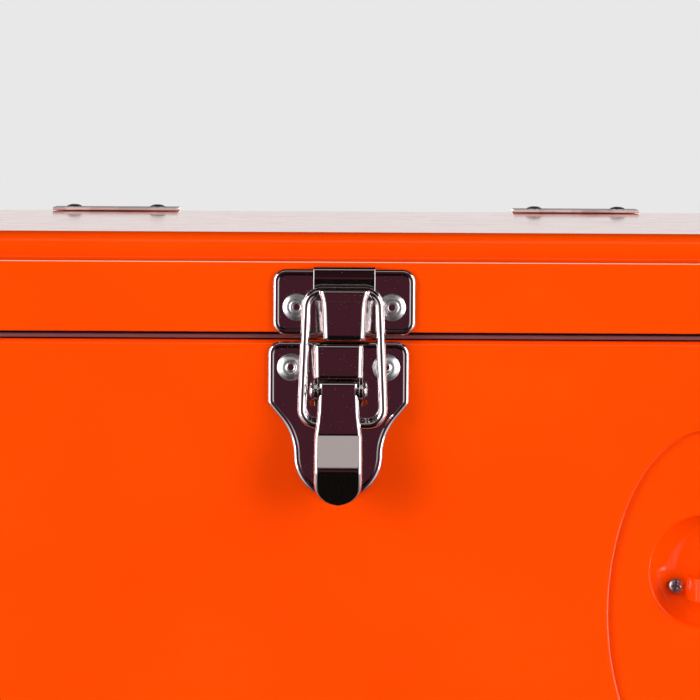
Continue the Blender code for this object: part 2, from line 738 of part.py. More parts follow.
def make_keeper(holes):
    """Keeper plate; a strip from its top edge dips to a seat for the wire and folds into a hook."""
    outline = rounded_outline(KEEPER_WIDTH, KEEPER_HEIGHT, 4 * MM)
    place = along_y(0, FRONT, SEAM + KEEPER_MIDDLE, -1)
    keeper = add_object("keeper_plate", prism_at(outline, place, FIT, LATCH_FACE), "chrome", LID_PIVOT)
    half = LATCH_SHEET / 2
    face = HOOK_FACE - half
    rise = KEEPER_MIDDLE + KEEPER_HEIGHT / 2
    apron = [(LATCH_FACE - half, rise - half), (HOOK_BACK, WIRE_SEAT + 4.2 * MM),
             (HOOK_BACK, WIRE_SEAT - half)]
    seat = bend(apron + [(face - 0.2 * MM, WIRE_SEAT - half)], 1.0 * MM)
    side = sideways(0, FRONT, SEAM, -1)
    for name, path, width in (("keeper_apron", apron, HOOK_STRIP), ("keeper_seat", seat, HOOK_WIDTH)):
        strip = prism_at(sheet_outline(path, LATCH_SHEET), side, -width / 2, width / 2)
        boolean(keeper, add_tool(name, strip), "UNION")
    tongue = channel(0, HOOK_WIDTH / 2, HOOK_FACE, FIT + half, WIRE_SEAT - half, HOOK_BOTTOM)
    boolean(keeper, add_tool("keeper_cheeks", tongue), "UNION")
    lip = box(
        (-HOOK_WIDTH / 2 + 1 * MM, FRONT - HOOK_FACE, SEAM + WIRE_SEAT - LATCH_SHEET),
        (HOOK_WIDTH / 2 - 1 * MM, FRONT - HOOK_FACE + LATCH_SHEET, SEAM + HOOK_LIP),
    )
    boolean(keeper, add_tool("keeper_lip", lip), "UNION")
    boolean(keeper, holes)


def shield_outline():
    """Outline of the latch base, v measured from the seam's middle."""
    half = SHIELD_WIDTH / 2
    end_z = -(SHIELD_TOP_DROP + SHIELD_HEIGHT - SHIELD_END)
    waist_x = SHIELD_END + SHIELD_WAIST
    right = arc((0, end_z), SHIELD_END, -90, 0, 8)
    right += arc((waist_x, end_z), SHIELD_WAIST, 180, 138, 4)[1:]
    right += [(half - 0.5 * MM, -SHIELD_SHOULDER - 0.6 * MM), (half, -SHIELD_SHOULDER + 0.4 * MM)]
    right += arc((half - 4 * MM, -SHIELD_TOP_DROP - 4 * MM), 4 * MM, 0, 90, 3)
    left = [(-x, z) for x, z in right[::-1] if x > 1e-6]
    return right + left


def make_latch_base(holes):
    """Shield plate with a raised bridge and two ears for the lever's pivot."""
    place = along_y(SHIELD_SHIFT, FRONT, SEAM, -1)
    base = add_object("latch_base", prism_at(shield_outline(), place, FIT, LATCH_FACE), "chrome")
    back = FIT + LATCH_SHEET / 2
    bridge = channel(SHIELD_SHIFT, EAR_WIDTH / 2, BRIDGE_FACE, back, -BRIDGE_TOP, -EAR_BOTTOM)
    boolean(base, add_tool("latch_bridge", bridge), "UNION")
    window = EAR_WIDTH / 2 - LATCH_SHEET
    cut = box(
        (SHIELD_SHIFT - window, FRONT - BRIDGE_FACE - 1 * MM, SEAM - EAR_BOTTOM - 1 * MM),
        (SHIELD_SHIFT + window, FRONT - LATCH_FACE - 1 * MM, SEAM - BRIDGE_BOTTOM),
    )
    boolean(base, add_tool("latch_window", cut))
    trim = box(
        (SHIELD_SHIFT - EAR_WIDTH, FRONT - BRIDGE_FACE - 1 * MM, SEAM - EAR_BOTTOM - 1 * MM),
        (SHIELD_SHIFT + EAR_WIDTH, FRONT - PIVOT_REACH - EAR_EDGE, SEAM - BRIDGE_BOTTOM - 1.2 * MM),
    )
    boolean(base, add_tool("ear_trim", trim))
    pin_hole = turned([(HINGE_PIN / 2 + FIT, -EAR_WIDTH), (HINGE_PIN / 2 + FIT, EAR_WIDTH)],
                      along_x(SHIELD_SHIFT, PIVOT_Y, PIVOT_Z), 14)
    boolean(base, add_tool("latch_pin_hole", pin_hole))
    boolean(base, holes)


def make_latch_pivot_pin():
    half = EAR_WIDTH / 2 + FIT
    r, head = HINGE_PIN / 2, HINGE_PIN / 2 + 0.9 * MM
    profile = [(head - 0.4 * MM, -half - 0.9 * MM), (head, -half - 0.4 * MM), (head, -half), (r, -half)]
    profile += [(radius, -along) for radius, along in profile[::-1]]
    place = along_x(SHIELD_SHIFT, PIVOT_Y, PIVOT_Z)
    add_object("latch_pivot_pin", turned(profile, place, 14), "chrome")


def lever_stations():
    """(drop below the seam's middle, reach of the face, half width, depth of the sides)."""
    top, mid = LEVER_WIDTH / 2, LEVER_WIDE / 2
    crest_z = LEVER_TIP - LEVER_END
    stations = [
        (LEVER_TOP, LEVER_FACE, top, 7.0 * MM), (PIVOT_DROP + 3 * MM, LEVER_FACE, top, 7.0 * MM),
        (PIVOT_DROP + 7 * MM, LEVER_FACE, top + 0.3 * MM, 7.4 * MM),
        (PIVOT_DROP + CRANK, LEVER_FACE + 0.2 * MM, mid - 0.3 * MM, 7.6 * MM),
        (RAMP_TOP, LEVER_FACE + 0.4 * MM, mid, 7.4 * MM),
        (crest_z - 1.2 * MM, LEVER_CREST - 0.3 * MM, mid, 5.0 * MM),
        (crest_z, LEVER_CREST, mid, 4.2 * MM),
    ]
    for i in range(1, 5):
        angle = math.radians(78 * i / 4)
        drop = LEVER_END * math.sin(angle)
        reach = LEVER_CREST - LEVER_TIP_FALL * math.sin(angle)
        width = mid * math.cos(angle)
        stations.append((crest_z + drop, reach, width, 4.2 * MM - 1.6 * MM * i / 4))
    return stations


def make_latch_lever():
    rings = []
    for drop, face, half_width, depth in lever_stations():
        corner = min(1.6 * MM, half_width * 0.6)
        wall = min(LATCH_SHEET, half_width * 0.6)
        outline = channel_outline(half_width, face, face - depth, wall, corner)
        rings.append([(SHIELD_SHIFT + u, FRONT - v, SEAM - drop) for u, v in outline])
    pivot = (SHIELD_SHIFT, PIVOT_Y, PIVOT_Z)
    lever = add_object("latch_lever", loft(rings), "chrome", pivot)
    window = LEVER_WIDTH / 2 - LATCH_SHEET
    cut = box(
        (SHIELD_SHIFT - window, FRONT - LEVER_FACE - 1 * MM, SEAM - LEVER_WEB_TOP),
        (SHIELD_SHIFT + window, FRONT - LATCH_FACE, SEAM - LEVER_TOP + 1 * MM),
    )
    boolean(lever, add_tool("lever_window", cut))
    across = LEVER_WIDE
    pin = turned([(HINGE_PIN / 2 + FIT, -across), (HINGE_PIN / 2 + FIT, across)],
                 along_x(SHIELD_SHIFT, PIVOT_Y, PIVOT_Z), 14)
    wire = turned([(WIRE / 2 + FIT, -across), (WIRE / 2 + FIT, across)],
                  along_x(SHIELD_SHIFT, BAIL_Y, BAIL_Z), 14)
    boolean(lever, add_tool("lever_holes", bodies([pin, wire])))


def make_latch_bail():
    """Closed wire loop, wider at the lever than at the hook."""
    low, high = BAIL_LOW_WIDTH / 2, BAIL_HIGH_WIDTH / 2
    top = BAIL_Z + BAIL_HEIGHT
    lean = WIRE_REACH - (FRONT - BAIL_Y)
    corners = ((low, 0), (high, BAIL_HEIGHT), (-high, BAIL_HEIGHT), (-low, 0))
    path = []
    for i, corner in enumerate(corners):
        here = Vector(corner)
        before = (Vector(corners[i - 1]) - here).normalized()
        after = (Vector(corners[(i + 1) % 4]) - here).normalized()
        half = before.angle(after) / 2
        reach = BAIL_CORNER / math.tan(half)
        centre = here + (before + after).normalized() * BAIL_CORNER / math.sin(half)
        first = here + before * reach - centre
        sweep = math.pi - 2 * half
        for k in range(5):
            turn = Matrix.Rotation(sweep * k / 4, 2)
            path.append(centre + turn @ first)
    points = []
    for u, v in path:
        reach = (FRONT - BAIL_Y) + lean * v / BAIL_HEIGHT
        points.append((BAIL_SHIFT + u, FRONT - reach, BAIL_Z + v))
    pivot = (BAIL_SHIFT, BAIL_Y, BAIL_Z)
    add_object("latch_bail", tube(points, WIRE / 2, 10, closed=True), "chrome", pivot)


# ---------------------------------------------------------------- lid
def make_lid_shell(holes):
    r1, r2, r3 = 1.0 * MM, CROWN_FOOT, CROWN_RADIUS
    inset, low, shoulder, top = CROWN_INSET, SKIRT_BOTTOM, SHOULDER, LID_TOP
    section = [(inset + r3, top - SHEET)]
    section += arc((inset + r3, top - r3), r3 - SHEET, 90, 180, 2)[1:]
    section += arc((inset - r2, shoulder + r2), r2 + SHEET, 0, -90, 2)
    section += [(SHEET, shoulder - SHEET), (SHEET, low + SHEET), (LID_FLANGE, low + SHEET), (LID_FLANGE, low)]
    section += arc((r1, low + r1), r1, 270, 180, 1)
    section += arc((r1, shoulder - r1), r1, 180, 90, 1)
    section += arc((inset - r2, shoulder + r2), r2, -90, 0, 3)
    section += arc((inset + r3, top - r3), r3, 180, 90, 3)
    shell = add_object("lid_shell", plan_loft(section), "paint", LID_PIVOT)
    boolean(shell, holes)


def lid_levels():
    """Underside of the lid's liner, bottom of its plug."""
    return SKIRT_BOTTOM + SHEET + FIT, TUB_FLANGE_TOP - LID_PLUG


def make_lid_liner():
    under, plug = lid_levels()
    edge = SHEET + FIT
    outside = BODY_WALL + PLUG_GAP
    inside = outside + LID_LINER
    corner = TUB_CORNER - PLUG_GAP
    r = 2 * MM
    section = [
        (outside + r, plug, corner - r), (outside, plug + r, corner), (outside, under, corner),
        (edge, under), (edge, under + LID_LINER), (inside, under + LID_LINER, corner - LID_LINER),
        (inside, plug + r, corner - LID_LINER), (inside + r, plug + LID_LINER, corner - LID_LINER - r),
    ]
    add_object("lid_liner", plan_loft(section), "plastic", LID_PIVOT)


def make_lid_insulation(pockets):
    under, plug = lid_levels()
    r2, r3 = CROWN_FOOT, CROWN_RADIUS
    inset, shoulder, top = CROWN_INSET, SHOULDER, LID_TOP
    grow = SHEET + FIT
    inside = BODY_WALL + PLUG_GAP + LID_LINER + FIT
    corner = TUB_CORNER - PLUG_GAP - LID_LINER - FIT
    section = [(inset + r3, top - grow)]
    section += arc((inset + r3, top - r3), r3 - grow, 90, 180, 2)[1:]
    section += arc((inset - r2, shoulder + r2), r2 + grow, 0, -90, 2)
    section += [(grow, shoulder - grow), (grow, under + LID_LINER + FIT)]
    section += [(inside, under + LID_LINER + FIT, corner), (inside, plug + 2 * MM + LID_LINER, corner)]
    section += [(inside + 2 * MM, plug + LID_LINER + FIT, corner - 2 * MM)]
    foam = add_object("lid_insulation", plan_loft(section), "foam", LID_PIVOT)
    boolean(foam, pockets)


def make_lid_gasket():
    under, _ = lid_levels()
    low, high = TUB_FLANGE_TOP + FIT, under - FIT
    start = LID_FLANGE + 2 * MM
    end = start + GASKET_WIDTH
    section = [(start, low), (start, high), (end, high), (end, low)]
    add_object("lid_gasket", plan_loft(section, closed=True), "rubber", LID_PIVOT)


# ---------------------------------------------------------------- hinges
def knuckle_cut(x0, first):
    """Boxes that clear every other knuckle's stretch of a leaf, starting with the given one."""
    length = HINGE_LENGTH / HINGE_KNUCKLES
    reach = HINGE_CURL + HINGE_SHEET / 2 + FIT
    y, parts = REAR + HINGE_BACK, []
    for i in range(first, HINGE_KNUCKLES, 2):
        x = x0 - HINGE_LENGTH / 2 + i * length
        spare_low = 1 * MM if i == 0 else FIT / 2
        spare_high = 1 * MM if i == HINGE_KNUCKLES - 1 else FIT / 2
        low = (x - spare_low, y - reach - 1 * MM, SEAM - reach)
        high = (x + length + spare_high, y + reach + 1 * MM, SEAM + reach)
        parts.append(box(low, high))
    return parts


def make_hinge(side, sign, body_holes, lid_holes):
    x0 = sign * HINGE_SPACING / 2
    y0 = REAR + HINGE_BACK
    half = HINGE_LENGTH / 2
    place = sideways(x0, y0, SEAM)
    curl = arc((0, 0), HINGE_CURL, 180, -100, 7)
    leaf = sheet_outline([(-HINGE_CURL, -HINGE_DROP)] + curl, HINGE_SHEET)
    name = "body_hinge_leaf_" + side
    obj = add_object(name, prism_at(leaf, place, -half, half), "chrome")
    boolean(obj, add_tool("lid_knuckle_room_" + side, bodies(knuckle_cut(x0, 1))))
    boolean(obj, body_holes)

    rise = LID_TOP - SEAM + FIT + HINGE_SHEET / 2
    over = (-HINGE_BACK - HINGE_LAP, rise)
    corner = bend([over, (-HINGE_CURL, rise), (-HINGE_CURL, HINGE_CURL)], 1.6 * MM)
    leaf = sheet_outline(corner + arc((0, 0), HINGE_CURL, 180, 460, 7), HINGE_SHEET)
    name = "lid_hinge_leaf_" + side
    obj = add_object(name, prism_at(leaf, place, -half, half), "chrome", LID_PIVOT)
    boolean(obj, add_tool("body_knuckle_room_" + side, bodies(knuckle_cut(x0, 0))))
    boolean(obj, lid_holes)

    r, end = HINGE_PIN / 2, half + FIT
    profile = [(r, -end - 0.8 * MM), (r + 0.7 * MM, -end - 0.5 * MM), (r + 0.7 * MM, -end), (r, -end)]
    profile += [(radius, -along) for radius, along in profile[::-1]]
    add_object("hinge_pin_" + side, turned(profile, along_x(x0, y0, SEAM), 12), "steel")


# ---------------------------------------------------------------- side handles
def make_side_handle(side, sign, holes):
    lug = HANDLE_LUG / 2
    pivot_y = HANDLE_SPAN / 2
    long = HANDLE_SPAN + 2 * MM
    outline = rounded_outline(long, BRACKET_HEIGHT, 6 * MM)
    place = along_x(sign * SIDE, BODY_SHIFT, HANDLE_Z, sign)
    bracket = add_object("handle_bracket_" + side, prism_at(outline, place, FIT, FIT + BRACKET_SHEET), "chrome")
    rod = HANDLE_ROD / 2
    eye = rod + FIT + 2.2 * MM
    profile = [(BRACKET_SHEET / 2 + FIT, -eye), (HANDLE_REACH, -eye)]
    profile += arc((HANDLE_REACH, 0), eye, -90, 90, 6)[1:]
    profile += [(BRACKET_SHEET / 2 + FIT, eye)]
    for end, along in (("front", -1), ("rear", 1)):
        middle = BODY_SHIFT + along * (pivot_y - HANDLE_BEND - lug)
        rings = [[(sign * (SIDE + u), middle + w, HANDLE_Z + v) for u, v in profile] for w in (-lug, lug)]
        tool = add_tool("handle_lug_" + side + "_" + end, loft(rings))
        boolean(bracket, tool, "UNION")
    x = sign * (SIDE + HANDLE_REACH)
    bores = turned([(rod + FIT, -HANDLE_SPAN), (rod + FIT, HANDLE_SPAN)], along_y(x, BODY_SHIFT, HANDLE_Z), 16)
    boolean(bracket, add_tool("handle_bores_" + side, bores))
    boolean(bracket, holes)

    bend_r = HANDLE_BEND
    low = HANDLE_Z - HANDLE_DROP
    stub = pivot_y - HANDLE_BEND - HANDLE_LUG - 1.5 * MM
    half = [(stub, HANDLE_Z)]
    half += arc((pivot_y - bend_r, HANDLE_Z - bend_r), bend_r, 90, 0, 3)
    half += arc((pivot_y - bend_r, low + bend_r), bend_r, 0, -90, 3)
    path = half + [(-y, z) for y, z in half[::-1]]
    points = [(x, BODY_SHIFT + y, z) for y, z in path]
    pivot = (x, BODY_SHIFT, HANDLE_Z)
    add_object("handle_rod_" + side, tube(points, rod, 10), "chrome", pivot)
    grip, bore = HANDLE_GRIP / 2, rod + FIT
    end = GRIP_LENGTH / 2
    soft = 2 * MM
    ring = [
        (bore, -end), (grip - soft, -end), (grip, -end + soft), (grip, end - soft),
        (grip - soft, end), (bore, end),
    ]
    place = along_y(x, BODY_SHIFT, low)
    add_object("handle_grip_" + side, turned(ring, place, 14, hollow=True), "rubber", pivot)


# ---------------------------------------------------------------- the chest
def build():
    clear_scene()
    body_sites, lid_sites = fastener_sites()
    opener_holes = []
    for sign in (-1, 1):
        at = along_y(OPENER_X + sign * OPENER_SCREWS / 2, FRONT, OPENER_Z, -1)
        opener_holes.append((at, SCREW_SHANK + FIT, 0, -DISH_DEPTH - SHEET - 6 * MM))
    tube_hole = (drain_place(), DRAIN_TUBE / 2 + FIT, 1 * MM, -tub_inset(DRAIN_Z) - 4 * MM)
    body_holes, body_pockets = fastener_tools("body", body_sites, opener_holes + [tube_hole])
    lid_holes, lid_pockets = fastener_tools("lid", lid_sites)
    place, radius, start, end = tube_hole
    drain_hole = add_tool("drain_hole", turned([(radius, start), (radius, end)], place))
    opener_pockets = [turned([(SCREW_SHANK + 3 * FIT, 0), (SCREW_SHANK + 3 * FIT, end)], at, 8)
                      for at, _, _, end in opener_holes]
    opener_room = add_tool("opener_pockets", bodies(opener_pockets))

    make_body_shell(body_holes, oval_tool("oval_hollow", 0), dish_tool("dish_hollow", 0))
    make_base_pan()
    make_body_insulation(body_pockets, drain_hole)
    boolean(bpy.data.objects["body_insulation"], opener_room)
    make_liner_tub(drain_hole)
    make_feet()
    make_drain()
    make_opener()
    make_latch_base(body_holes)
    make_latch_pivot_pin()
    make_latch_lever()
    make_latch_bail()
    make_keeper(lid_holes)
    make_lid_shell(lid_holes)
    make_lid_insulation(lid_pockets)
    make_lid_liner()
    make_lid_gasket()
    for side, sign in (("left", -1), ("right", 1)):
        make_hinge(side, sign, body_holes, lid_holes)
        make_side_handle(side, sign, body_holes)
    for name, (place, stack) in {**body_sites, **lid_sites}.items():
        latch = name.startswith(("latch", "keeper"))
        head, sides = (RIVET_HEAD, 12) if latch else (SMALL_RIVET, 8)
        rivet(name, place, stack, head, sides, LID_PIVOT if name in lid_sites else (0, 0, 0))


build()
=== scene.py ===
from math import cos, pi, radians, sin, tan
import bmesh
import bpy
from mathutils import Matrix, Vector


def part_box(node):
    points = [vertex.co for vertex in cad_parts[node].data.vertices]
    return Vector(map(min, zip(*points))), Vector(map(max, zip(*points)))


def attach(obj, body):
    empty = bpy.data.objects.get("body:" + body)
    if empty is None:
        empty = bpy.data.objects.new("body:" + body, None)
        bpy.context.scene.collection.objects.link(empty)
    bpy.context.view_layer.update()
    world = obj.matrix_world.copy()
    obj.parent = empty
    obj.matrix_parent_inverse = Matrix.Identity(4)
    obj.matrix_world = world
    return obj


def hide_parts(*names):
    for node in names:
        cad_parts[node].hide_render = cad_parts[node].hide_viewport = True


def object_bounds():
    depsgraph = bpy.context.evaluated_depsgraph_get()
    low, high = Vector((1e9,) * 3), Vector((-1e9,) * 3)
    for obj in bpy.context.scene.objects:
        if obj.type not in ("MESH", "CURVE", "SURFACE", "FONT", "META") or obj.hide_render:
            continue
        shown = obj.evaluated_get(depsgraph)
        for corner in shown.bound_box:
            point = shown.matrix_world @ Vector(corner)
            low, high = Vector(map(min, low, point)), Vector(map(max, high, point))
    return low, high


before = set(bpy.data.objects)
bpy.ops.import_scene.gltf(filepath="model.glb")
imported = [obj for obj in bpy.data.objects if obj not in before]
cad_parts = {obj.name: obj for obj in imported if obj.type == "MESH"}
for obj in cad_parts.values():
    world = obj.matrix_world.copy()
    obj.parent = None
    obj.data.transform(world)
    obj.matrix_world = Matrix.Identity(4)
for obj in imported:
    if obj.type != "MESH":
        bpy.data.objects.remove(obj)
cadLow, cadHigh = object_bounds()
mm = 0.001

# faces of the chest that the fittings are placed from
shellLow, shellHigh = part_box("body_shell")
lidLow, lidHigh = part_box("lid_shell")
front, rear = shellLow.y, shellHigh.y
sideX = shellHigh.x
seamZ = (shellHigh.z + lidLow.z) / 2
midY = (front + rear) / 2
width, depth = 2 * sideX, rear - front

# clearances and heights that several pieces share
fit, weld = 0.3 * mm, 0.001 * mm        # gap between fitted parts, and points merged into one
planCorner = 28 * mm                    # round of the chest's upright corners
flangeLow, flangeHigh = shellHigh.z + fit, shellHigh.z + 1.8 * mm     # tub's flange in the seam
print("frame loaded, chest", round(width * 1000), "by", round(depth * 1000), "mm")


# small tools
def hexColour(text):
    channels = [int(text[i:i + 2], 16) / 255 for i in (0, 2, 4)]
    linear = [c / 12.92 if c <= 0.04045 else ((c + 0.055) / 1.055) ** 2.4 for c in channels]
    return (*linear, 1.0)


def addNode(tree, kind, inputs=None, **settings):
    node = tree.nodes.new(kind)
    for key, value in settings.items():
        setattr(node, key, value)
    for key, value in (inputs or {}).items():
        if isinstance(value, bpy.types.NodeSocket):
            tree.links.new(value, node.inputs[key])
        else:
            node.inputs[key].default_value = value
    return node


def inMm(*points):
    return [tuple(value * mm for value in point) for point in points]


def arcPoints(cx, cy, radius, start, end, steps):
    turns = [radians(start + (end - start) * i / steps) for i in range(steps + 1)]
    return [(cx + radius * cos(t), cy + radius * sin(t)) for t in turns]


def roundedRect(wide, tall, radius, steps=10):
    w, h = wide / 2 - radius, tall / 2 - radius
    corners = ((w, -h, -90), (w, h, 0), (-w, h, 90), (-w, -h, 180))
    return [p for cx, cy, a in corners for p in arcPoints(cx, cy, radius, a, a + 90, steps)]


def shrinkOutline(points, inset):
    # every point moves inwards along the mean of its two edge normals
    moved = []
    for i, point in enumerate(points):
        here = Vector(point)
        a = (here - Vector(points[i - 1])).normalized()
        b = (Vector(points[(i + 1) % len(points)]) - here).normalized()
        normal = Vector((-(a.y + b.y), a.x + b.x)).normalized()
        moved.append(tuple(here + normal * inset / max(normal.dot(Vector((-a.y, a.x))), 0.6)))
    return moved


def sheetPath(path, thickness):
    # outline of a bent sheet whose middle follows the path
    left, right = [], []
    for i, point in enumerate(path):
        here = Vector(point)
        a = (here - Vector(path[i - 1])).normalized() if i else None
        b = (Vector(path[i + 1]) - here).normalized() if i < len(path) - 1 else a
        a = a or b
        normal = Vector((-(a + b).y, (a + b).x)).normalized()
        shift = normal * thickness / 2 / max(normal.dot(Vector((-a.y, a.x))), 0.5)
        left.append(tuple(here + shift))
        right.append(tuple(here - shift))
    return left + right[::-1]


def bentPath(path, radius, steps=8):
    points = [path[0]]
    for i in range(1, len(path) - 1):
        corner = Vector(path[i])
        a, b = Vector(path[i - 1]) - corner, Vector(path[i + 1]) - corner
        reach = min(radius / tan(a.angle(b) / 2), 0.48 * a.length, 0.48 * b.length)
        first, last = corner + a.normalized() * reach, corner + b.normalized() * reach
        for k in range(steps + 1):
            t = k / steps
            points.append(tuple(first * (1 - t) ** 2 + corner * 2 * t * (1 - t) + last * t * t))
    return points + [path[-1]]


def skin(rings):
    # quads between rings of equal length, with both ends filled
    bm = bmesh.new()
    rows = [[bm.verts.new(p) for p in ring] for ring in rings]
    for low, high in zip(rows, rows[1:]):
        for i in range(len(low)):
            j = (i + 1) % len(low)
            bm.faces.new((low[i], low[j], high[j], high[i]))
    bm.faces.new(rows[0])
    bm.faces.new(rows[-1])
    return bm


def slab(outline, place, start, end):
    return skin([[place(u, v, w) for u, v in outline] for w in (start, end)])


def frontPlace(x0, z0):
    return lambda u, v, w: (x0 + u, front - w, z0 + v)


def plainMesh(obj):
    # the evaluated object as a plain mesh, with nothing live left on it
    graph = bpy.context.evaluated_depsgraph_get()
    graph.update()
    mesh = bpy.data.meshes.new_from_object(obj.evaluated_get(graph))
    obj.modifiers.clear()
    obj.data = mesh
    return obj


def makeObject(name, bm):
    bmesh.ops.recalc_face_normals(bm, faces=bm.faces)
    mesh = bpy.data.meshes.new(name)
    bm.to_mesh(mesh)
    bm.free()
    obj = bpy.data.objects.new(name, mesh)
    bpy.context.scene.collection.objects.link(obj)
    return obj


def smoothAndBevel(obj, bevel=0.0, segments=3, angle=32):
    # rounded edges, and normals weighted so that the flats stay flat in the gloss
    if bevel:
        mod = obj.modifiers.new("edges", "BEVEL")
        mod.width, mod.segments, mod.limit_method = bevel, segments, "ANGLE"
        mod.angle_limit = radians(angle)
        mod.use_clamp_overlap = True
        plainMesh(obj)
    obj.data.shade_smooth()
    obj.data.set_sharp_from_angle(angle=radians(48))
    mod = obj.modifiers.new("flats", "WEIGHTED_NORMAL")
    mod.keep_sharp, mod.weight = True, 60
    return plainMesh(obj)


def settle(obj, material, body, slot, *nodes):
    obj.data.materials.clear()
    obj.data.materials.append(material)
    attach(obj, body)
    if nodes:
        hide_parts(*nodes)
    return obj


def joinBodies(target, extra):
    mesh = bpy.data.meshes.new("part")
    extra.to_mesh(mesh)
    extra.free()
    target.from_mesh(mesh)
    bpy.data.meshes.remove(mesh)
    return target


def cutAway(obj, toolMesh, operation="DIFFERENCE"):
    tool = makeObject("tool", toolMesh)
    mod = obj.modifiers.new("cut", "BOOLEAN")
    mod.object, mod.operation, mod.solver = tool, operation, "EXACT"
    plainMesh(obj)
    bpy.data.objects.remove(tool)
    return obj


# materials
def newMaterial(name, colour, **sockets):
    mat = bpy.data.materials.new(name)
    mat.use_nodes = True
    tree = mat.node_tree
    shader = tree.nodes["Principled BSDF"]
    shader.inputs["Base Color"].default_value = hexColour(colour)
    for key, value in sockets.items():
        shader.inputs[key].default_value = value
    return mat, tree, shader.inputs, addNode(tree, "ShaderNodeTexCoord").outputs["Object"]


def fadeTo(tree, base, along, start, end, colour):
    # the base colour turns into the other one as "along" goes from start to end
    share = addNode(tree, "ShaderNodeMapRange", {0: along, 1: start, 2: end}).outputs[0]
    first, second = [hexColour(c) if isinstance(c, str) else c for c in (base, colour)]
    return addNode(tree, "ShaderNodeMix", {0: share, 6: first, 7: second}, data_type="RGBA").outputs[2]


def makeFinish(name, first, second, blotch, shine, grain, **sockets):
    # colour drifts between two shades and gloss between two values, over a fine raised grain;
    # blotch, shine and grain each start with the real width of one patch and its detail
    mat, tree, shader, place = newMaterial(name, second, **sockets)
    drift, cloud, rise = [
        addNode(tree, "ShaderNodeTexNoise",
                {"Vector": place, "Scale": 1 / size, "Detail": detail}).outputs["Fac"]
        for size, detail, *rest in (blotch, shine, grain)]
    if first != second:
        tree.links.new(fadeTo(tree, first, drift, 0.3, 0.7, second), shader["Base Color"])
    gloss = addNode(tree, "ShaderNodeMapRange", {0: cloud, 1: 0.3, 2: 0.7, 3: shine[2], 4: shine[3]})
    tree.links.new(gloss.outputs[0], shader["Roughness"])
    bump = addNode(tree, "ShaderNodeBump", {"Height": rise, "Distance": grain[2]})
    tree.links.new(bump.outputs[0], shader["Normal"])
    return mat


def makeChrome(name, stretch):
    # bright chrome over pressed steel: mirror finish, fine drawing lines and a few dust specks
    mat, tree, shader, place = newMaterial(name, "D3CDCE", Metallic=1.0)
    drawn = addNode(tree, "ShaderNodeMapping", {"Vector": place, "Scale": stretch}).outputs[0]
    lines, haze, ripple = [
        addNode(tree, "ShaderNodeTexNoise",
                {"Vector": where, "Scale": 1 / size, "Detail": detail}).outputs["Fac"]
        for where, size, detail in ((drawn, 0.35 * mm, 3), (place, 5 * mm, 3), (place, 2.2 * mm, 2))]
    dust = addNode(tree, "ShaderNodeTexVoronoi",
                   {"Vector": place, "Scale": 1 / (1.1 * mm)}).outputs["Distance"]
    total = 0.0
    for value, start, end, low, high in ((lines, 0.3, 0.7, 0.0, 0.03), (haze, 0.3, 0.7, 0.03, 0.075),
                                         (dust, 0.05, 0.09, 0.35, 0.0)):
        part = addNode(tree, "ShaderNodeMapRange", {0: value, 1: start, 2: end, 3: low, 4: high}).outputs[0]
        total = addNode(tree, "ShaderNodeMath", {0: total, 1: part}, operation="ADD").outputs[0]
    tree.links.new(total, shader["Roughness"])
    height = addNode(tree, "ShaderNodeMath", {0: ripple, 1: lines}, operation="ADD").outputs[0]
    bump = addNode(tree, "ShaderNodeBump", {"Height": height, "Distance": 0.0016 * mm})
    tree.links.new(bump.outputs[0], shader["Normal"])
    return mat


def makeZinc(name, dark, light, low, high):
    # zinc plated steel: dull metal with a faint patchwork of crystals
    mat, tree, shader, place = newMaterial(name, light, Metallic=1.0)
    cells = addNode(tree, "ShaderNodeTexVoronoi", {"Vector": place, "Scale": 1 / (7 * mm)})
    tone = addNode(tree, "ShaderNodeSeparateColor", {0: cells.outputs["Color"]}).outputs[0]
    tree.links.new(addNode(tree, "ShaderNodeMix", {0: tone, 6: hexColour(dark), 7: hexColour(light)},
                           data_type="RGBA").outputs[2], shader["Base Color"])
    gloss = addNode(tree, "ShaderNodeMapRange", {0: tone, 3: low, 4: high})
    tree.links.new(gloss.outputs[0], shader["Roughness"])
    grain = addNode(tree, "ShaderNodeTexNoise", {"Vector": place, "Scale": 1 / (0.6 * mm), "Detail": 3})
    bump = addNode(tree, "ShaderNodeBump", {"Height": grain.outputs["Fac"], "Distance": 0.01 * mm})
    tree.links.new(bump.outputs[0], shader["Normal"])
    return mat


def tintAbove(mat, low, soft, colour, high=None):
    # from one height up, or between two heights, the surface takes another colour
    tree = mat.node_tree
    target = tree.nodes["Principled BSDF"].inputs["Base Color"]
    base = target.links[0].from_socket
    place = addNode(tree, "ShaderNodeTexCoord").outputs["Object"]
    up = addNode(tree, "ShaderNodeSeparateXYZ", {0: place}).outputs["Z"]
    tinted = fadeTo(tree, base, up, low, low + soft, colour)
    if high:
        tinted = fadeTo(tree, tinted, up, high - soft, high, base)
    tree.links.new(tinted, target)


def makeEnamel(name):
    # stoved gloss enamel on pressed steel: deep even colour, wet shine and faint orange peel
    return makeFinish(name, "FF4C00", "FB4700", (60 * mm, 2), (9 * mm, 4, 0.05, 0.10),
                      (3.5 * mm, 1.5, 0.004 * mm), IOR=1.45)


def makeMoulded(name, dark, light, grainSize, grainDepth, low, high):
    # moulded plastic or rubber: nearly even colour, fine tool grain, satin gloss
    return makeFinish(name, dark, light, (22 * mm, 3), (4 * mm, 4, low, high),
                      (grainSize * mm, 3, grainDepth * mm))


enamel, lidEnamel = makeEnamel("orangeStovedEnamel"), makeEnamel("orangeLidEnamel")
chrome = makeChrome("chromePlate", (1, 1, 0.12))
wireChrome = makeChrome("chromeWire", (1, 1, 0.3))
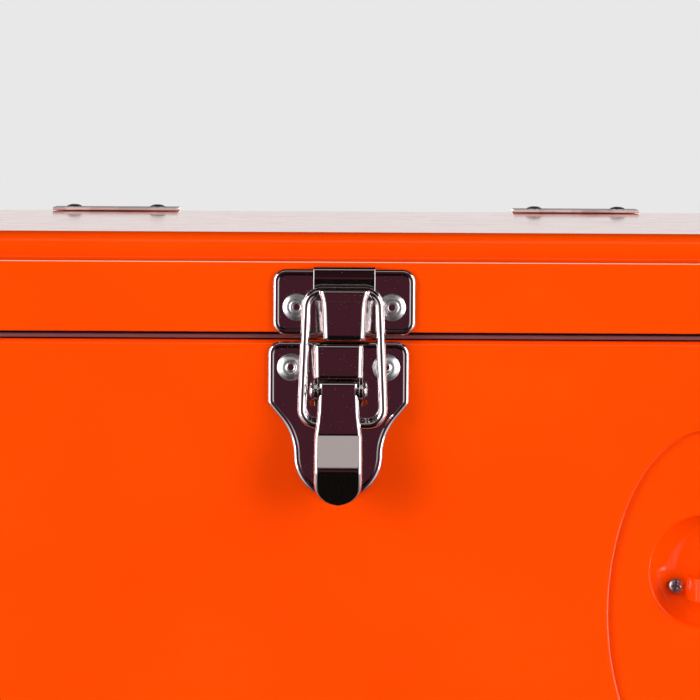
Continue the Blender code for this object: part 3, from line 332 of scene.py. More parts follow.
# drawn aluminium rivet: soft grey shine with rough rings from the setting tool
aluminium = makeFinish("drawnAluminium", "E2E2E4", "E2E2E4", (0.5 * mm, 4), (0.5 * mm, 4, 0.28, 0.42),
                       (0.5 * mm, 4, 0.012 * mm), Metallic=1.0)
tubPlastic = makeMoulded("whitePolyethylene", "E6E5DF", "F1F0EA", 0.5, 0.02, 0.32, 0.45)
linerPlastic = makeMoulded("whitePolystyrene", "E6E5DF", "F1F0EA", 0.5, 0.02, 0.32, 0.45)
foamPlastic = makeMoulded("blownUrethaneFoam", "D9C184", "E8D49C", 0.8, 0.35, 0.85, 0.97)
rubber = makeMoulded("blackRubber", "141414", "1E1E1F", 0.4, 0.03, 0.55, 0.72)
gripPlastic = makeMoulded("blackPolypropylene", "101112", "17181A", 0.3, 0.02, 0.34, 0.48)
sealRubber = makeMoulded("greySealStrip", "77787A", "858688", 0.4, 0.03, 0.6, 0.75)
zinc = makeZinc("zincPlate", "A4A9B0", "C9CCD1", 0.28, 0.45)
hingeZinc = makeZinc("dullZincHinge", "E2DBD7", "F0EBE7", 0.5, 0.65)
print("materials made")


# geometry node trees
def newTree(name, *sockets):
    tree = bpy.data.node_groups.new(name, "GeometryNodeTree")
    tree.interface.new_socket("Geometry", in_out="INPUT", socket_type="NodeSocketGeometry")
    for label, kind in sockets:
        tree.interface.new_socket(label, in_out="INPUT", socket_type="NodeSocket" + kind)
    tree.interface.new_socket("Geometry", in_out="OUTPUT", socket_type="NodeSocketGeometry")
    given = tree.nodes.new("NodeGroupInput").outputs
    return tree, given


def endTree(tree, given, geometry):
    whole = addNode(tree, "GeometryNodeRealizeInstances", {"Geometry": geometry})
    coated = addNode(tree, "GeometryNodeSetMaterial",
                     {"Geometry": whole.outputs[0], "Material": given["Material"]})
    tree.links.new(coated.outputs[0], tree.nodes.new("NodeGroupOutput").inputs[0])
    return tree


def growTree(name, tree, points, edges=(), faces=(), attributes=None, **values):
    # runs a tree on a small mesh of guide points and keeps the result as a plain mesh
    mesh = bpy.data.meshes.new(name)
    mesh.from_pydata([tuple(p) for p in points], list(edges), list(faces))
    for label, vectors in (attributes or {}).items():
        layer = mesh.attributes.new(label, "FLOAT_VECTOR", "POINT")
        for i, vector in enumerate(vectors):
            layer.data[i].vector = vector
    obj = bpy.data.objects.new(name, mesh)
    mod = obj.modifiers.new("grow", "NODES")
    mod.node_group = tree
    for item in tree.interface.items_tree:
        key = item.name.replace(" ", "")
        if item.in_out == "INPUT" and key in values:
            mod[item.identifier] = values[key]
    bpy.context.scene.collection.objects.link(obj)
    return plainMesh(obj)


def roundSweepTree():
    # a section carried round the chest's rounded plan; section x is outwards, y is downwards
    tree, given = newTree("sweepRoundPlan", ("Width", "Float"), ("Depth", "Float"),
                          ("Corner Radius", "Float"),
                          ("Corner Points", "Int"), ("Material", "Material"))
    plan = addNode(tree, "GeometryNodeCurvePrimitiveQuadrilateral",
                   {"Width": given["Width"], "Height": given["Depth"]})
    corners = addNode(tree, "GeometryNodeFilletCurve", {
        "Curve": plan.outputs[0], "Radius": given["Corner Radius"], "Count": given["Corner Points"]},
                      mode="POLY")
    section = addNode(tree, "GeometryNodeMeshToCurve", {"Mesh": given["Geometry"]})
    sweep = addNode(tree, "GeometryNodeCurveToMesh",
                    {"Curve": corners.outputs[0], "Profile Curve": section.outputs[0]})
    return endTree(tree, given, sweep.outputs[0])


def turnedTree():
    # a profile turned about its own axis and set down on every site, facing along "outward"
    tree, given = newTree("turnOnSites", ("Sides", "Int"), ("Profile", "Object"), ("Material", "Material"))
    profile = addNode(tree, "GeometryNodeObjectInfo", {"Object": given["Profile"]}).outputs["Geometry"]
    count = addNode(tree, "GeometryNodeAttributeDomainSize", {"Geometry": profile}).outputs["Point Count"]
    around = addNode(tree, "ShaderNodeMath", {0: given["Sides"], 1: 1.0}, operation="ADD").outputs[0]
    grid = addNode(tree, "GeometryNodeMeshGrid",
                   {"Size X": 1.0, "Size Y": 1.0, "Vertices X": count, "Vertices Y": around})
    index = addNode(tree, "GeometryNodeInputIndex").outputs[0]
    row = addNode(tree, "ShaderNodeMath", {0: index, 1: around}, operation="DIVIDE").outputs[0]
    row = addNode(tree, "ShaderNodeMath", {0: row}, operation="FLOOR").outputs[0]
    column = addNode(tree, "ShaderNodeMath", {0: index, 1: around}, operation="FLOORED_MODULO").outputs[0]
    place = addNode(tree, "GeometryNodeInputPosition").outputs[0]
    point = addNode(tree, "GeometryNodeSampleIndex", {"Geometry": profile, "Index": row},
                    data_type="FLOAT_VECTOR")
    tree.links.new(place, point.inputs["Value"])
    parts = addNode(tree, "ShaderNodeSeparateXYZ", {0: point.outputs[0]}).outputs
    share = addNode(tree, "ShaderNodeMath", {0: column, 1: given["Sides"]}, operation="DIVIDE").outputs[0]
    angle = addNode(tree, "ShaderNodeMath", {0: share, 1: 2 * pi}, operation="MULTIPLY").outputs[0]
    cosine = addNode(tree, "ShaderNodeMath", {0: angle}, operation="COSINE").outputs[0]
    sine = addNode(tree, "ShaderNodeMath", {0: angle}, operation="SINE").outputs[0]
    px = addNode(tree, "ShaderNodeMath", {0: cosine, 1: parts["X"]}, operation="MULTIPLY").outputs[0]
    py = addNode(tree, "ShaderNodeMath", {0: sine, 1: parts["X"]}, operation="MULTIPLY").outputs[0]
    spot = addNode(tree, "ShaderNodeCombineXYZ", {"X": px, "Y": py, "Z": parts["Z"]}).outputs[0]
    bent = addNode(tree, "GeometryNodeSetPosition", {"Geometry": grid.outputs["Mesh"], "Position": spot})
    merged = addNode(tree, "GeometryNodeMergeByDistance",
                     {"Geometry": bent.outputs[0], "Distance": 0.01 * mm})
    facing = addNode(tree, "GeometryNodeInputNamedAttribute", {"Name": "outward"}, data_type="FLOAT_VECTOR")
    turn = addNode(tree, "FunctionNodeAlignRotationToVector", {"Vector": facing.outputs[0]}, axis="Z")
    copies = addNode(tree, "GeometryNodeInstanceOnPoints", {
        "Points": given["Geometry"], "Instance": merged.outputs[0], "Rotation": turn.outputs[0]})
    return endTree(tree, given, copies.outputs[0])


def wireTree():
    # round wire along a path
    tree, given = newTree("bentWire", ("Radius", "Float"), ("Sides", "Int"), ("Material", "Material"))
    path = addNode(tree, "GeometryNodeMeshToCurve", {"Mesh": given["Geometry"]})
    ring = addNode(tree, "GeometryNodeCurvePrimitiveCircle",
                   {"Resolution": given["Sides"], "Radius": given["Radius"]})
    wire = addNode(tree, "GeometryNodeCurveToMesh", {
        "Curve": path.outputs[0], "Profile Curve": ring.outputs[0], "Fill Caps": True})
    return endTree(tree, given, wire.outputs[0])


def rowTree():
    # a flat section made solid to a length and repeated along X
    tree, given = newTree("repeatAlongX", ("Length", "Float"), ("Pitch", "Float"), ("Count", "Int"),
                          ("Material", "Material"))
    push = addNode(tree, "ShaderNodeCombineXYZ", {"X": given["Length"]}).outputs[0]
    solid = addNode(tree, "GeometryNodeExtrudeMesh", {
        "Mesh": given["Geometry"], "Offset": push, "Offset Scale": 1.0, "Individual": False}, mode="FACES")
    closed = addNode(tree, "GeometryNodeJoinGeometry")
    flipped = addNode(tree, "GeometryNodeFlipFaces", {"Mesh": given["Geometry"]})
    tree.links.new(solid.outputs[0], closed.inputs[0])
    tree.links.new(flipped.outputs[0], closed.inputs[0])
    merged = addNode(tree, "GeometryNodeMergeByDistance",
                     {"Geometry": closed.outputs[0], "Distance": 0.01 * mm})
    step = addNode(tree, "ShaderNodeCombineXYZ", {"X": given["Pitch"]}).outputs[0]
    line = addNode(tree, "GeometryNodeMeshLine", {"Count": given["Count"], "Offset": step})
    copies = addNode(tree, "GeometryNodeInstanceOnPoints",
                     {"Points": line.outputs[0], "Instance": merged.outputs[0]})
    return endTree(tree, given, copies.outputs[0])


sweepTree, turnTree, wiresTree, repeatTree = roundSweepTree(), turnedTree(), wireTree(), rowTree()


def tidyNormals(obj, outward=True):
    bm = bmesh.new()
    bm.from_mesh(obj.data)
    bmesh.ops.remove_doubles(bm, verts=bm.verts, dist=weld)
    if outward:
        bmesh.ops.recalc_face_normals(bm, faces=bm.faces)
    bm.to_mesh(obj.data)
    bm.free()
    return obj


def sweepRound(name, section, material, capped=False):
    # section is (inset, z), listed from the top down on its outer side
    guides = [(-inset, -z, 0) for inset, z in section]
    count = len(guides)
    edges = [(i, i + 1) for i in range(count - 1)] + ([] if capped else [(count - 1, 0)])
    obj = growTree(name, sweepTree, guides, edges, Width=width, Depth=depth, CornerRadius=planCorner,
                   CornerPoints=20, Material=material)
    bm = bmesh.new()
    bm.from_mesh(obj.data)
    bmesh.ops.translate(bm, verts=bm.verts, vec=(0, midY, 0))
    bmesh.ops.remove_doubles(bm, verts=bm.verts, dist=weld)
    if capped:
        bmesh.ops.holes_fill(bm, edges=bm.edges, sides=0)
    bmesh.ops.recalc_face_normals(bm, faces=bm.faces)
    bm.to_mesh(obj.data)
    bm.free()
    return obj


def turnOnSites(name, profile, sites, material, sides=40):
    # profile is (radius, height); a site is (place, outward)
    guide = bpy.data.meshes.new(name + "Profile")
    guide.from_pydata([(r, 0, h) for r, h in profile], [(i, i + 1) for i in range(len(profile) - 1)], [])
    holder = bpy.data.objects.new(name + "Profile", guide)
    bpy.context.scene.collection.objects.link(holder)
    obj = growTree(name, turnTree, [place for place, _ in sites],
                   attributes={"outward": [way for _, way in sites]},
                   Sides=sides, Profile=holder, Material=material)
    bpy.data.objects.remove(holder)
    tidyNormals(obj)
    bm = bmesh.new()
    bm.from_mesh(obj.data)
    bmesh.ops.dissolve_degenerate(bm, dist=weld / 2, edges=bm.edges)
    bmesh.ops.recalc_face_normals(bm, faces=bm.faces)
    bm.to_mesh(obj.data)
    bm.free()
    return smoothAndBevel(obj)


# body shell: pressed steel box with an oval pressing and a round dish at its front
body = {
    "sheet": 1.0 * mm, "rimRadius": 2.0 * mm, "rimFlange": 9 * mm,
    "ovalWidth": 68 * mm, "ovalHeight": 123 * mm, "ovalDepth": 1.6 * mm, "ovalX": 122.9 * mm,
        "ovalDrop": 92.5 * mm,
    "ovalRound": 0.7 * mm, "dishLip": 1.2 * mm,
    "dishRadius": 18.9 * mm, "dishDepth": 8.5 * mm, "dishDrop": 79.1 * mm, "dishWall": 12.5 * mm,
}


def ovalRing(halfWide, halfTall, y, steps=96):
    turns = [2 * pi * i / steps for i in range(steps)]
    z0 = seamZ - body["ovalDrop"]
    return [(body["ovalX"] + halfWide * cos(t), y, z0 + halfTall * sin(t)) for t in turns]


def ovalHollow(grow):
    # step profile: rounded lip, short slope and a rounded foot, as (inset, depth)
    a, b, deep = body["ovalWidth"] / 2, body["ovalHeight"] / 2, body["ovalDepth"]
    lip = foot = body["ovalRound"]
    steps = inMm((-1.2, -0.06))
    for t in map(radians, (84, 70, 55, 40, 28)):
        steps.append((-lip * cos(t) * 0.9, lip * (1 - sin(t))))
    for t in map(radians, (25, 40, 55, 70, 84)):
        steps.append((foot * (1.15 - cos(t)), deep - foot * (1 - sin(t))))
    if grow:
        steps = [(-lip - 0.3 * mm, grow), (-lip - 0.3 * mm, grow + 0.6 * mm), (foot, deep + grow)]
        rings = [ovalRing(a - inset + grow, b - inset + grow, front + y) for inset, y in steps]
        rings[0] = ovalRing(a + lip + grow, b + lip + grow, front + body["sheet"] / 2)
        return skin(rings)
    rings = [ovalRing(a + 2 * lip, b + 2 * lip, front - 3 * mm)]
    rings += [ovalRing(a - inset, b - inset, front + y) for inset, y in steps]
    return skin(rings)


def dishHollow(grow):
    radius, deep = body["dishRadius"] + grow, body["dishDepth"] - body["ovalDepth"]
    z0, start = seamZ - body["dishDrop"], front + body["ovalDepth"]
    wall, lip = body["dishWall"], body["dishLip"]
    rings = []
    profile = [(lip * 1.05, -2 * mm if not grow else -body["ovalDepth"] + body["sheet"] / 2)]
    if not grow:
        profile += [(lip * (1 - sin(t)), lip * (1 - cos(t))) for t in map(radians, (8, 25, 45, 65))]
    for i in range(13):
        t = radians(12 + 78 * i / 12)
        profile.append((-wall * (1 - cos(t)), grow + deep * sin(t) ** 0.9))
    for out, down in profile:
        r = radius + out
        turns = [2 * pi * k / 96 for k in range(96)]
        rings.append([(body["ovalX"] + r * cos(t), start + down, z0 + r * sin(t)) for t in turns])
    return skin(rings)


def makeBodyShell():
    r, t = body["rimRadius"], body["sheet"]
    low, high = shellLow.z, shellHigh.z
    section = [(body["rimFlange"], high)] + arcPoints(r, high - r, r, 90, 180, 7)
    section += arcPoints(r, low + r, r, 180, 270, 7) + [(body["rimFlange"], low),
                                                        (body["rimFlange"], low + t)]
    section += arcPoints(r, low + r, r - t, 270, 180, 4) + arcPoints(r, high - r, r - t, 180, 90, 4)
    section += [(body["rimFlange"], high - t)]
    shell = sweepRound("bodyShell", section, enamel)
    cutAway(shell, ovalHollow(t), "UNION")
    cutAway(shell, dishHollow(t), "UNION")
    cutAway(shell, ovalHollow(0))
    cutAway(shell, dishHollow(0))
    smoothAndBevel(tidyNormals(shell, False))
    return settle(shell, enamel, "chest", "orange_paint", "body_shell")


makeBodyShell()
print("body shell made")

# lid shell: skirt with a turned lip, a folded shoulder and a raised crown
# the last two heights bound the painted highlight along the shoulder's fold
lid = {"sheet": 1.0 * mm, "skirt": 23.7 * mm, "crownInset": 5.5 * mm, "crownRadius": 4.5 * mm,
       "crownFoot": 1.6 * mm,
       "lip": 6 * mm, "fold": 0.6 * mm, "rubLow": 23.32 * mm, "rubHigh": 23.66 * mm}


def makeLidShell():
    t, r1, r2, r3 = lid["sheet"], lid["fold"], lid["crownFoot"], lid["crownRadius"]
    low, top, inset = lidLow.z, lidHigh.z, lid["crownInset"]
    shoulder = low + lid["skirt"]
    section = [(inset + r3, top)] + arcPoints(inset + r3, top - r3, r3, 90, 180, 10)[1:]
    section += arcPoints(inset - r2, shoulder + r2, r2, 0, -90, 8)
    section += arcPoints(r1, shoulder - r1, r1, 90, 180, 6) + arcPoints(r1, low + r1, r1, 180, 270, 6)
    section += [(lid["lip"], low), (lid["lip"], low + t), (t, low + t), (t, shoulder - t)]
    section += arcPoints(inset - r2, shoulder + r2, r2 + t, -90, 0, 4)
    section += arcPoints(inset + r3, top - r3, r3 - t, 180, 90, 4)
    shell = sweepRound("lidShell", section, lidEnamel, capped=True)
    # painted highlight: a pale hairline along the shoulder's fold stands in for the gleam on its rounded edge
    tintAbove(lidEnamel, low + lid["rubLow"], 0.08 * mm, "F2C9B0", low + lid["rubHigh"])
    smoothAndBevel(shell)
    return settle(shell, lidEnamel, "lid", "orange_paint", "lid_shell")


makeLidShell()
print("lid shell made")

# toggle latch: keeper with its hook, base with its bridge, lever, wire bail and rivets
latch = {
    "sheet": 1.2 * mm, "rim": 1.1 * mm, "edge": 0.22 * mm,
    "keeperWide": 47.8 * mm, "keeperTall": 22.2 * mm, "keeperMiddle": 11.5 * mm, "keeperCorner": 4.4 * mm,
    "baseX": -1.8 * mm, "rivetsApart": 32 * mm, "rivetRadius": 4.6 * mm,
    "pivotDrop": 17.8 * mm, "pivotReach": 8.0 * mm, "pinRadius": 1.5 * mm,
    "bailX": -0.4 * mm, "bailReach": 6.8 * mm, "bailDrop": 29.3 * mm, "bailTall": 44.4 * mm,
         "bailTopReach": 5.6 * mm,
    "bailLow": 27.6 * mm, "bailHigh": 24.2 * mm, "wireRadius": 1.5 * mm, "bailCorner": 5.2 * mm,
}
plateFace = fit + latch["sheet"]


def pressedPlate(outline, place, face, rim):
    # rounded rim, then a shallow step down to the flat inside it
    steps = [(0.0, face - latch["sheet"]), (0.0, face - rim)]
    steps += [(rim * (1 - cos(a)), face - rim * (1 - sin(a))) for a in map(radians, range(15, 91, 15))]
    steps += [(rim + u, face - v) for u, v in inMm((0.3, 0), (0.6, 0.05), (0.9, 0.16), (1.3, 0.2))]
    rings = []
    for inset, w in steps:
        rings.append([place(u, v, w) for u, v in (shrinkOutline(outline, inset) if inset else outline)])
    return skin(rings)


def channelRing(half, face, back, sheet, corner, flare):
    # flare spreads the back edges apart
    outer = [(half + flare, back)] + arcPoints(half - corner, face - corner, corner, 0, 90, 8)
    outer += arcPoints(-half + corner, face - corner, corner, 90, 180, 8) + [(-half - flare, back)]
    r = max(corner - sheet, 0.25 * mm)
    h, f = half - sheet, face - sheet
    inner = [(-h - flare, back)] + arcPoints(-h + r, f - r, r, 180, 90,
                                             4) + arcPoints(h - r, f - r, r, 90, 0, 4)
    inner += [(h + flare, back)]
    return outer + inner


def channelLoft(stations, x0, corner, sheet, flare=0.0):
    # a station is (height over the seam, half width, reach of the face, reach of the back edge), in mm
    rings = []
    for z, half, face, back in inMm(*stations):
        ring = channelRing(half, face, back, min(sheet, half * 0.6),
                           min(corner, half * 0.7, (face - back) * 0.6), flare)
        rings.append([(x0 + u, front - v, seamZ + z) for u, v in ring])
    return skin(rings)


def baseOutline():
    half, end, endZ, waist = 23.7 * mm, 14.9 * mm, -40.2 * mm, 19.4 * mm
    right = arcPoints(0, endZ, end, -90, 0, 22)
    right += arcPoints(end + waist, endZ, waist, 180, 140, 14)[1:]
    right += bentPath([right[-1], (half, -22.6 * mm), (half, -12 * mm)], 3.2 * mm)[1:]
    right += arcPoints(half - 4.4 * mm, -6.1 * mm, 4.4 * mm, 0, 90, 8)
    return right + [(-x, z) for x, z in right[::-1] if x > 0.001 * mm]


def makeLatchBase():
    x0 = latch["baseX"]
    plate = makeObject("latchPlate", pressedPlate(baseOutline(), frontPlace(x0, seamZ), plateFace,
                                                  latch["rim"]))
    # slots that the ears were bent out of
    for sign in (-1, 1):
        slot = [(sign * 8.7 * mm + u, -22.4 * mm + v) for u,
                v in roundedRect(1.7 * mm, 2.4 * mm, 0.8 * mm, 6)]
        cutAway(plate, slab(slot, frontPlace(x0, seamZ), -1 * mm, 3 * mm))
    base = bmesh.new()
    base.from_mesh(plate.data)
    bpy.data.objects.remove(plate)
    back = plateFace - 0.5 * mm
    bridge = [(-2.2, 8.0, 10.7), (-2.5, 8.2, 11.1), (-3.0, 8.3, 11.3), (-3.8, 8.3, 11.4), (-12.4, 8.1, 11.4),
              (-13.0, 8.05, 11.35), (-13.4, 8.0, 11.2)]
    joinBodies(base, channelLoft([(*row, back / mm) for row in bridge], x0, 1.9 * mm, 1.0 * mm, 0.9 * mm))
    # ears that run on down from the bridge to hold the pivot
    for sign in (-1, 1):
        ear = [(back, -3.5 * mm), (10.2 * mm, -3.5 * mm), (10.2 * mm, -14.2 * mm)]
        ear += arcPoints(latch["pivotReach"], -latch["pivotDrop"], 3.3 * mm, 30, -90, 10)
        ear += bentPath([(6.5 * mm, -21.4 * mm), (2.6 * mm, -22.4 * mm), (back, -22.4 * mm)], 1.5 * mm, 4)
        joinBodies(base, slab(ear, lambda u, v, w: (x0 + w, front - u, seamZ + v), sign * 7.0 * mm,
                              sign * 8.15 * mm))
    obj = makeObject("latchBase", base)
    smoothAndBevel(obj, latch["edge"])
    settle(obj, chrome, "chest", "chrome", "latch_base")


def makeKeeper():
    outline = roundedRect(latch["keeperWide"], latch["keeperTall"], latch["keeperCorner"], 12)
    keeper = pressedPlate(outline, frontPlace(0, seamZ + latch["keeperMiddle"]), plateFace, latch["rim"])
    side = lambda u, v, w: (w, front - u, seamZ + v)
    sheet, corner = 1.1 * mm, 2.0 * mm
    apron = bentPath(inMm((0.9, 22.9), (2.3, 22.7), (2.7, 19.5), (2.2, 16.0), (3.1, 12.8)), 2.6 * mm)
    strap = makeObject("apron", slab(sheetPath(apron, sheet), side, -10.3 * mm, 10.3 * mm))
    mod = strap.modifiers.new("rolled", "BEVEL")
    mod.width, mod.segments, mod.limit_method = 0.52 * mm, 5, "ANGLE"
    keeper.from_mesh(plainMesh(strap).data)
    bpy.data.objects.remove(strap)
    seat = bentPath(inMm((2.7, 15.5), (2.7, 12.6), (10.2, 12.6)), 1.2 * mm)
    joinBodies(keeper, slab(sheetPath(seat, sheet), side, -7.2 * mm, 7.2 * mm))
    lip = [(15.9, 8.3, 9.9), (15.8, 8.4, 10.3), (15.5, 8.45, 10.7), (14.9, 8.4, 10.9), (13.2, 7.95, 10.9),
           (12.2, 7.7, 10.9)]
    joinBodies(keeper, channelLoft([(*row, 7.2) for row in lip], 0.0, corner, sheet))
    hook = [(12.2, 7.7, 10.9), (9.5, 7.45, 10.9), (1.2, 7.15, 10.9), (0.2, 7.1, 10.85), (-0.4, 7.05, 10.65),
            (-0.8, 6.95, 10.3)]
    joinBodies(keeper, channelLoft([(*row, 1.2) for row in hook], 0.0, corner, sheet, 2.3 * mm))
    obj = makeObject("keeperPlate", keeper)
    smoothAndBevel(obj, latch["edge"])
    settle(obj, chrome, "lid", "chrome", "keeper_plate")


def makeLever():
    x0 = latch["baseX"]
    stations = [(-14.5, 6.4, 9.9, 3.9), (-14.6, 6.5, 10.4, 3.9), (-14.9, 6.6, 10.8, 3.9),
                (-15.5, 6.65, 11.1, 3.9),
                (-16.3, 6.65, 11.2, 3.9), (-24.5, 6.95, 11.2, 3.8), (-28.5, 7.35, 11.3, 3.7),
                (-31.6, 7.75, 11.4, 3.9),
                (-32.4, 7.9, 11.5, 4.1), (-33.0, 7.98, 11.75, 4.3), (-34.0, 8.0, 12.15, 4.8),
                (-42.2, 8.05, 15.15, 10.4),
                (-43.2, 8.05, 15.45, 11.0), (-43.9, 8.05, 15.6, 11.3), (-44.6, 8.05, 15.55, 11.4),
                (-45.4, 8.05, 15.35, 11.4)]
    round0, roundR = -47.85, 8.05           # middle and radius of the rounded tip
    for i in range(0, 17):
        turn = radians(86 * i / 16)
        z = round0 - roundR * sin(turn) ** 0.85
        reach = 15.35 - 3.75 * (-z - 45.4) / 10.5
        half = roundR * cos(turn) ** 0.85
        stations.append((z, half, reach, reach - 3.6 + 1.4 * i / 16))
    lever = channelLoft(stations, x0, 1.5 * mm, 1.0 * mm)
    for sign in (-1, 1):
        cheek = arcPoints(latch["pivotReach"], -latch["pivotDrop"], 3.35 * mm, 0, 350, 35)
        joinBodies(lever, slab(cheek, lambda u, v, w: (x0 + w, front - u, seamZ + v), sign * 5.6 * mm,
                               sign * 6.62 * mm))
    obj = makeObject("latchLever", lever)
    smoothAndBevel(obj, 0.2 * mm)
    settle(obj, chrome, "latch_lever", "chrome", "latch_lever")


def bailPath():
    low, high, tall = latch["bailLow"] / 2, latch["bailHigh"] / 2, latch["bailTall"]
    corners = [Vector(c) for c in ((low, 0), (high, tall), (-high, tall), (-low, 0))]
    points = []
    for i, here in enumerate(corners):
        before, after = (corners[i - 1] - here).normalized(), (corners[(i + 1) % 4] - here).normalized()
        half = before.angle(after) / 2
        reach = latch["bailCorner"] / tan(half)
        middle = here + (before + after).normalized() * latch["bailCorner"] / sin(half)
        first = here + before * reach - middle
        for k in range(13):
            points.append(middle + Matrix.Rotation((pi - 2 * half) * k / 12, 2) @ first)
    z0 = seamZ - latch["bailDrop"]
    lean = latch["bailTopReach"] - latch["bailReach"]
    return [(latch["bailX"] + p.x, front - latch["bailReach"] - lean * p.y / tall, z0 + p.y) for p in points]


def makeBail():
    path = bailPath()
    ring = [(i, (i + 1) % len(path)) for i in range(len(path))]
    obj = growTree("latchBail", wiresTree, path, ring, Radius=latch["wireRadius"], Sides=28,
                   Material=wireChrome)
    smoothAndBevel(tidyNormals(obj))
    settle(obj, wireChrome, "latch_bail", "chrome", "latch_bail")


def makePivotPin():
    half = 8.5 * mm + fit
    head = [(r, half + h) for r, h in inMm((0, 1.0), (0.9, 0.95), (1.7, 0.7), (2.2, 0.3), (2.3, 0))]
    head.append((latch["pinRadius"], half - 0.1 * mm))
    profile = head + [(r, -h) for r, h in head[::-1]]
    place = (latch["baseX"], front - latch["pivotReach"], seamZ - latch["pivotDrop"])
    obj = turnOnSites("latchPivotPin", profile, [(place, (1, 0, 0))], chrome, 32)
    settle(obj, chrome, "chest", "chrome", "latch_pivot_pin")


# rivet heads of 4.6 mm radius as (radius, height), in mm: a stepped collar with an open bore on the lid,
# a smooth dome with a ringed dimple below it, and a plain dome for the rest
rivetShapes = {
    "stepped": [(0, -1.2), (1.1, -1.1), (1.15, 1.15), (1.25, 1.4), (1.45, 1.52), (2.1, 1.45), (2.35, 1.3),
                (2.45, 0.98), (2.75, 0.95), (3.3, 0.92), (3.55, 0.82), (3.65, 0.7), (4.1, 0.55), (4.5, 0.32),
                (4.6, 0.12), (4.55, 0.0)],
    "domed": [(0, -1.2), (1.0, -1.1), (1.05, 0.9), (1.12, 1.3), (1.35, 1.44), (1.65, 1.3), (1.8, 1.14),
              (2.1, 1.32), (2.6, 1.3), (3.3, 1.08), (3.9, 0.75), (4.4, 0.35), (4.6, 0.1), (4.55, 0.0)],
    "small": [(0, -0.2), (0.9, -0.15), (1.05, 1.3), (1.4, 1.6), (2.2, 1.5), (3.2, 1.15), (4.1, 0.7),
              (4.6, 0.25), (4.55, 0.0)],
}


def rivetProfile(kind, radius, seat):
    k = radius / (4.6 * mm)
    return [(r * k, seat + h * k) for r, h in inMm(*rivetShapes[kind])]


def makeRivets():
    half = latch["rivetsApart"] / 2
    seat = plateFace - 0.12 * mm
    sites = [((x, front, seamZ + 9.8 * mm), (0, -1, 0)) for x in (-half, half)]
    obj = turnOnSites("keeperRivets", rivetProfile("stepped", latch["rivetRadius"], seat), sites, aluminium)
    settle(obj, aluminium, "lid", "aluminium", "keeper_rivet_left", "keeper_rivet_right")
    sites = [((latch["baseX"] + x, front, seamZ - 10.4 * mm), (0, -1, 0)) for x in (-half, half)]
    obj = turnOnSites("latchRivets", rivetProfile("domed", latch["rivetRadius"], seat), sites, aluminium)
    settle(obj, aluminium, "chest", "aluminium", "latch_rivet_left", "latch_rivet_right")


makeLatchBase()
makeKeeper()
makeLever()
makeBail()
makePivotPin()
makeRivets()
print("latch made")

# hinges: butt hinges whose lid leaf turns over onto the lid's top
hinge = {
    "apart": 188 * mm, "long": 51 * mm, "sheet": 1.2 * mm, "pin": 1.5 * mm, "drop": 26 * mm, "lap": 22 * mm,
    "knuckles": 5, "rivetsApart": 34 * mm, "rivetRadius": 3.4 * mm, "rivetIn": 16 * mm, "corner": 4 * mm,
}


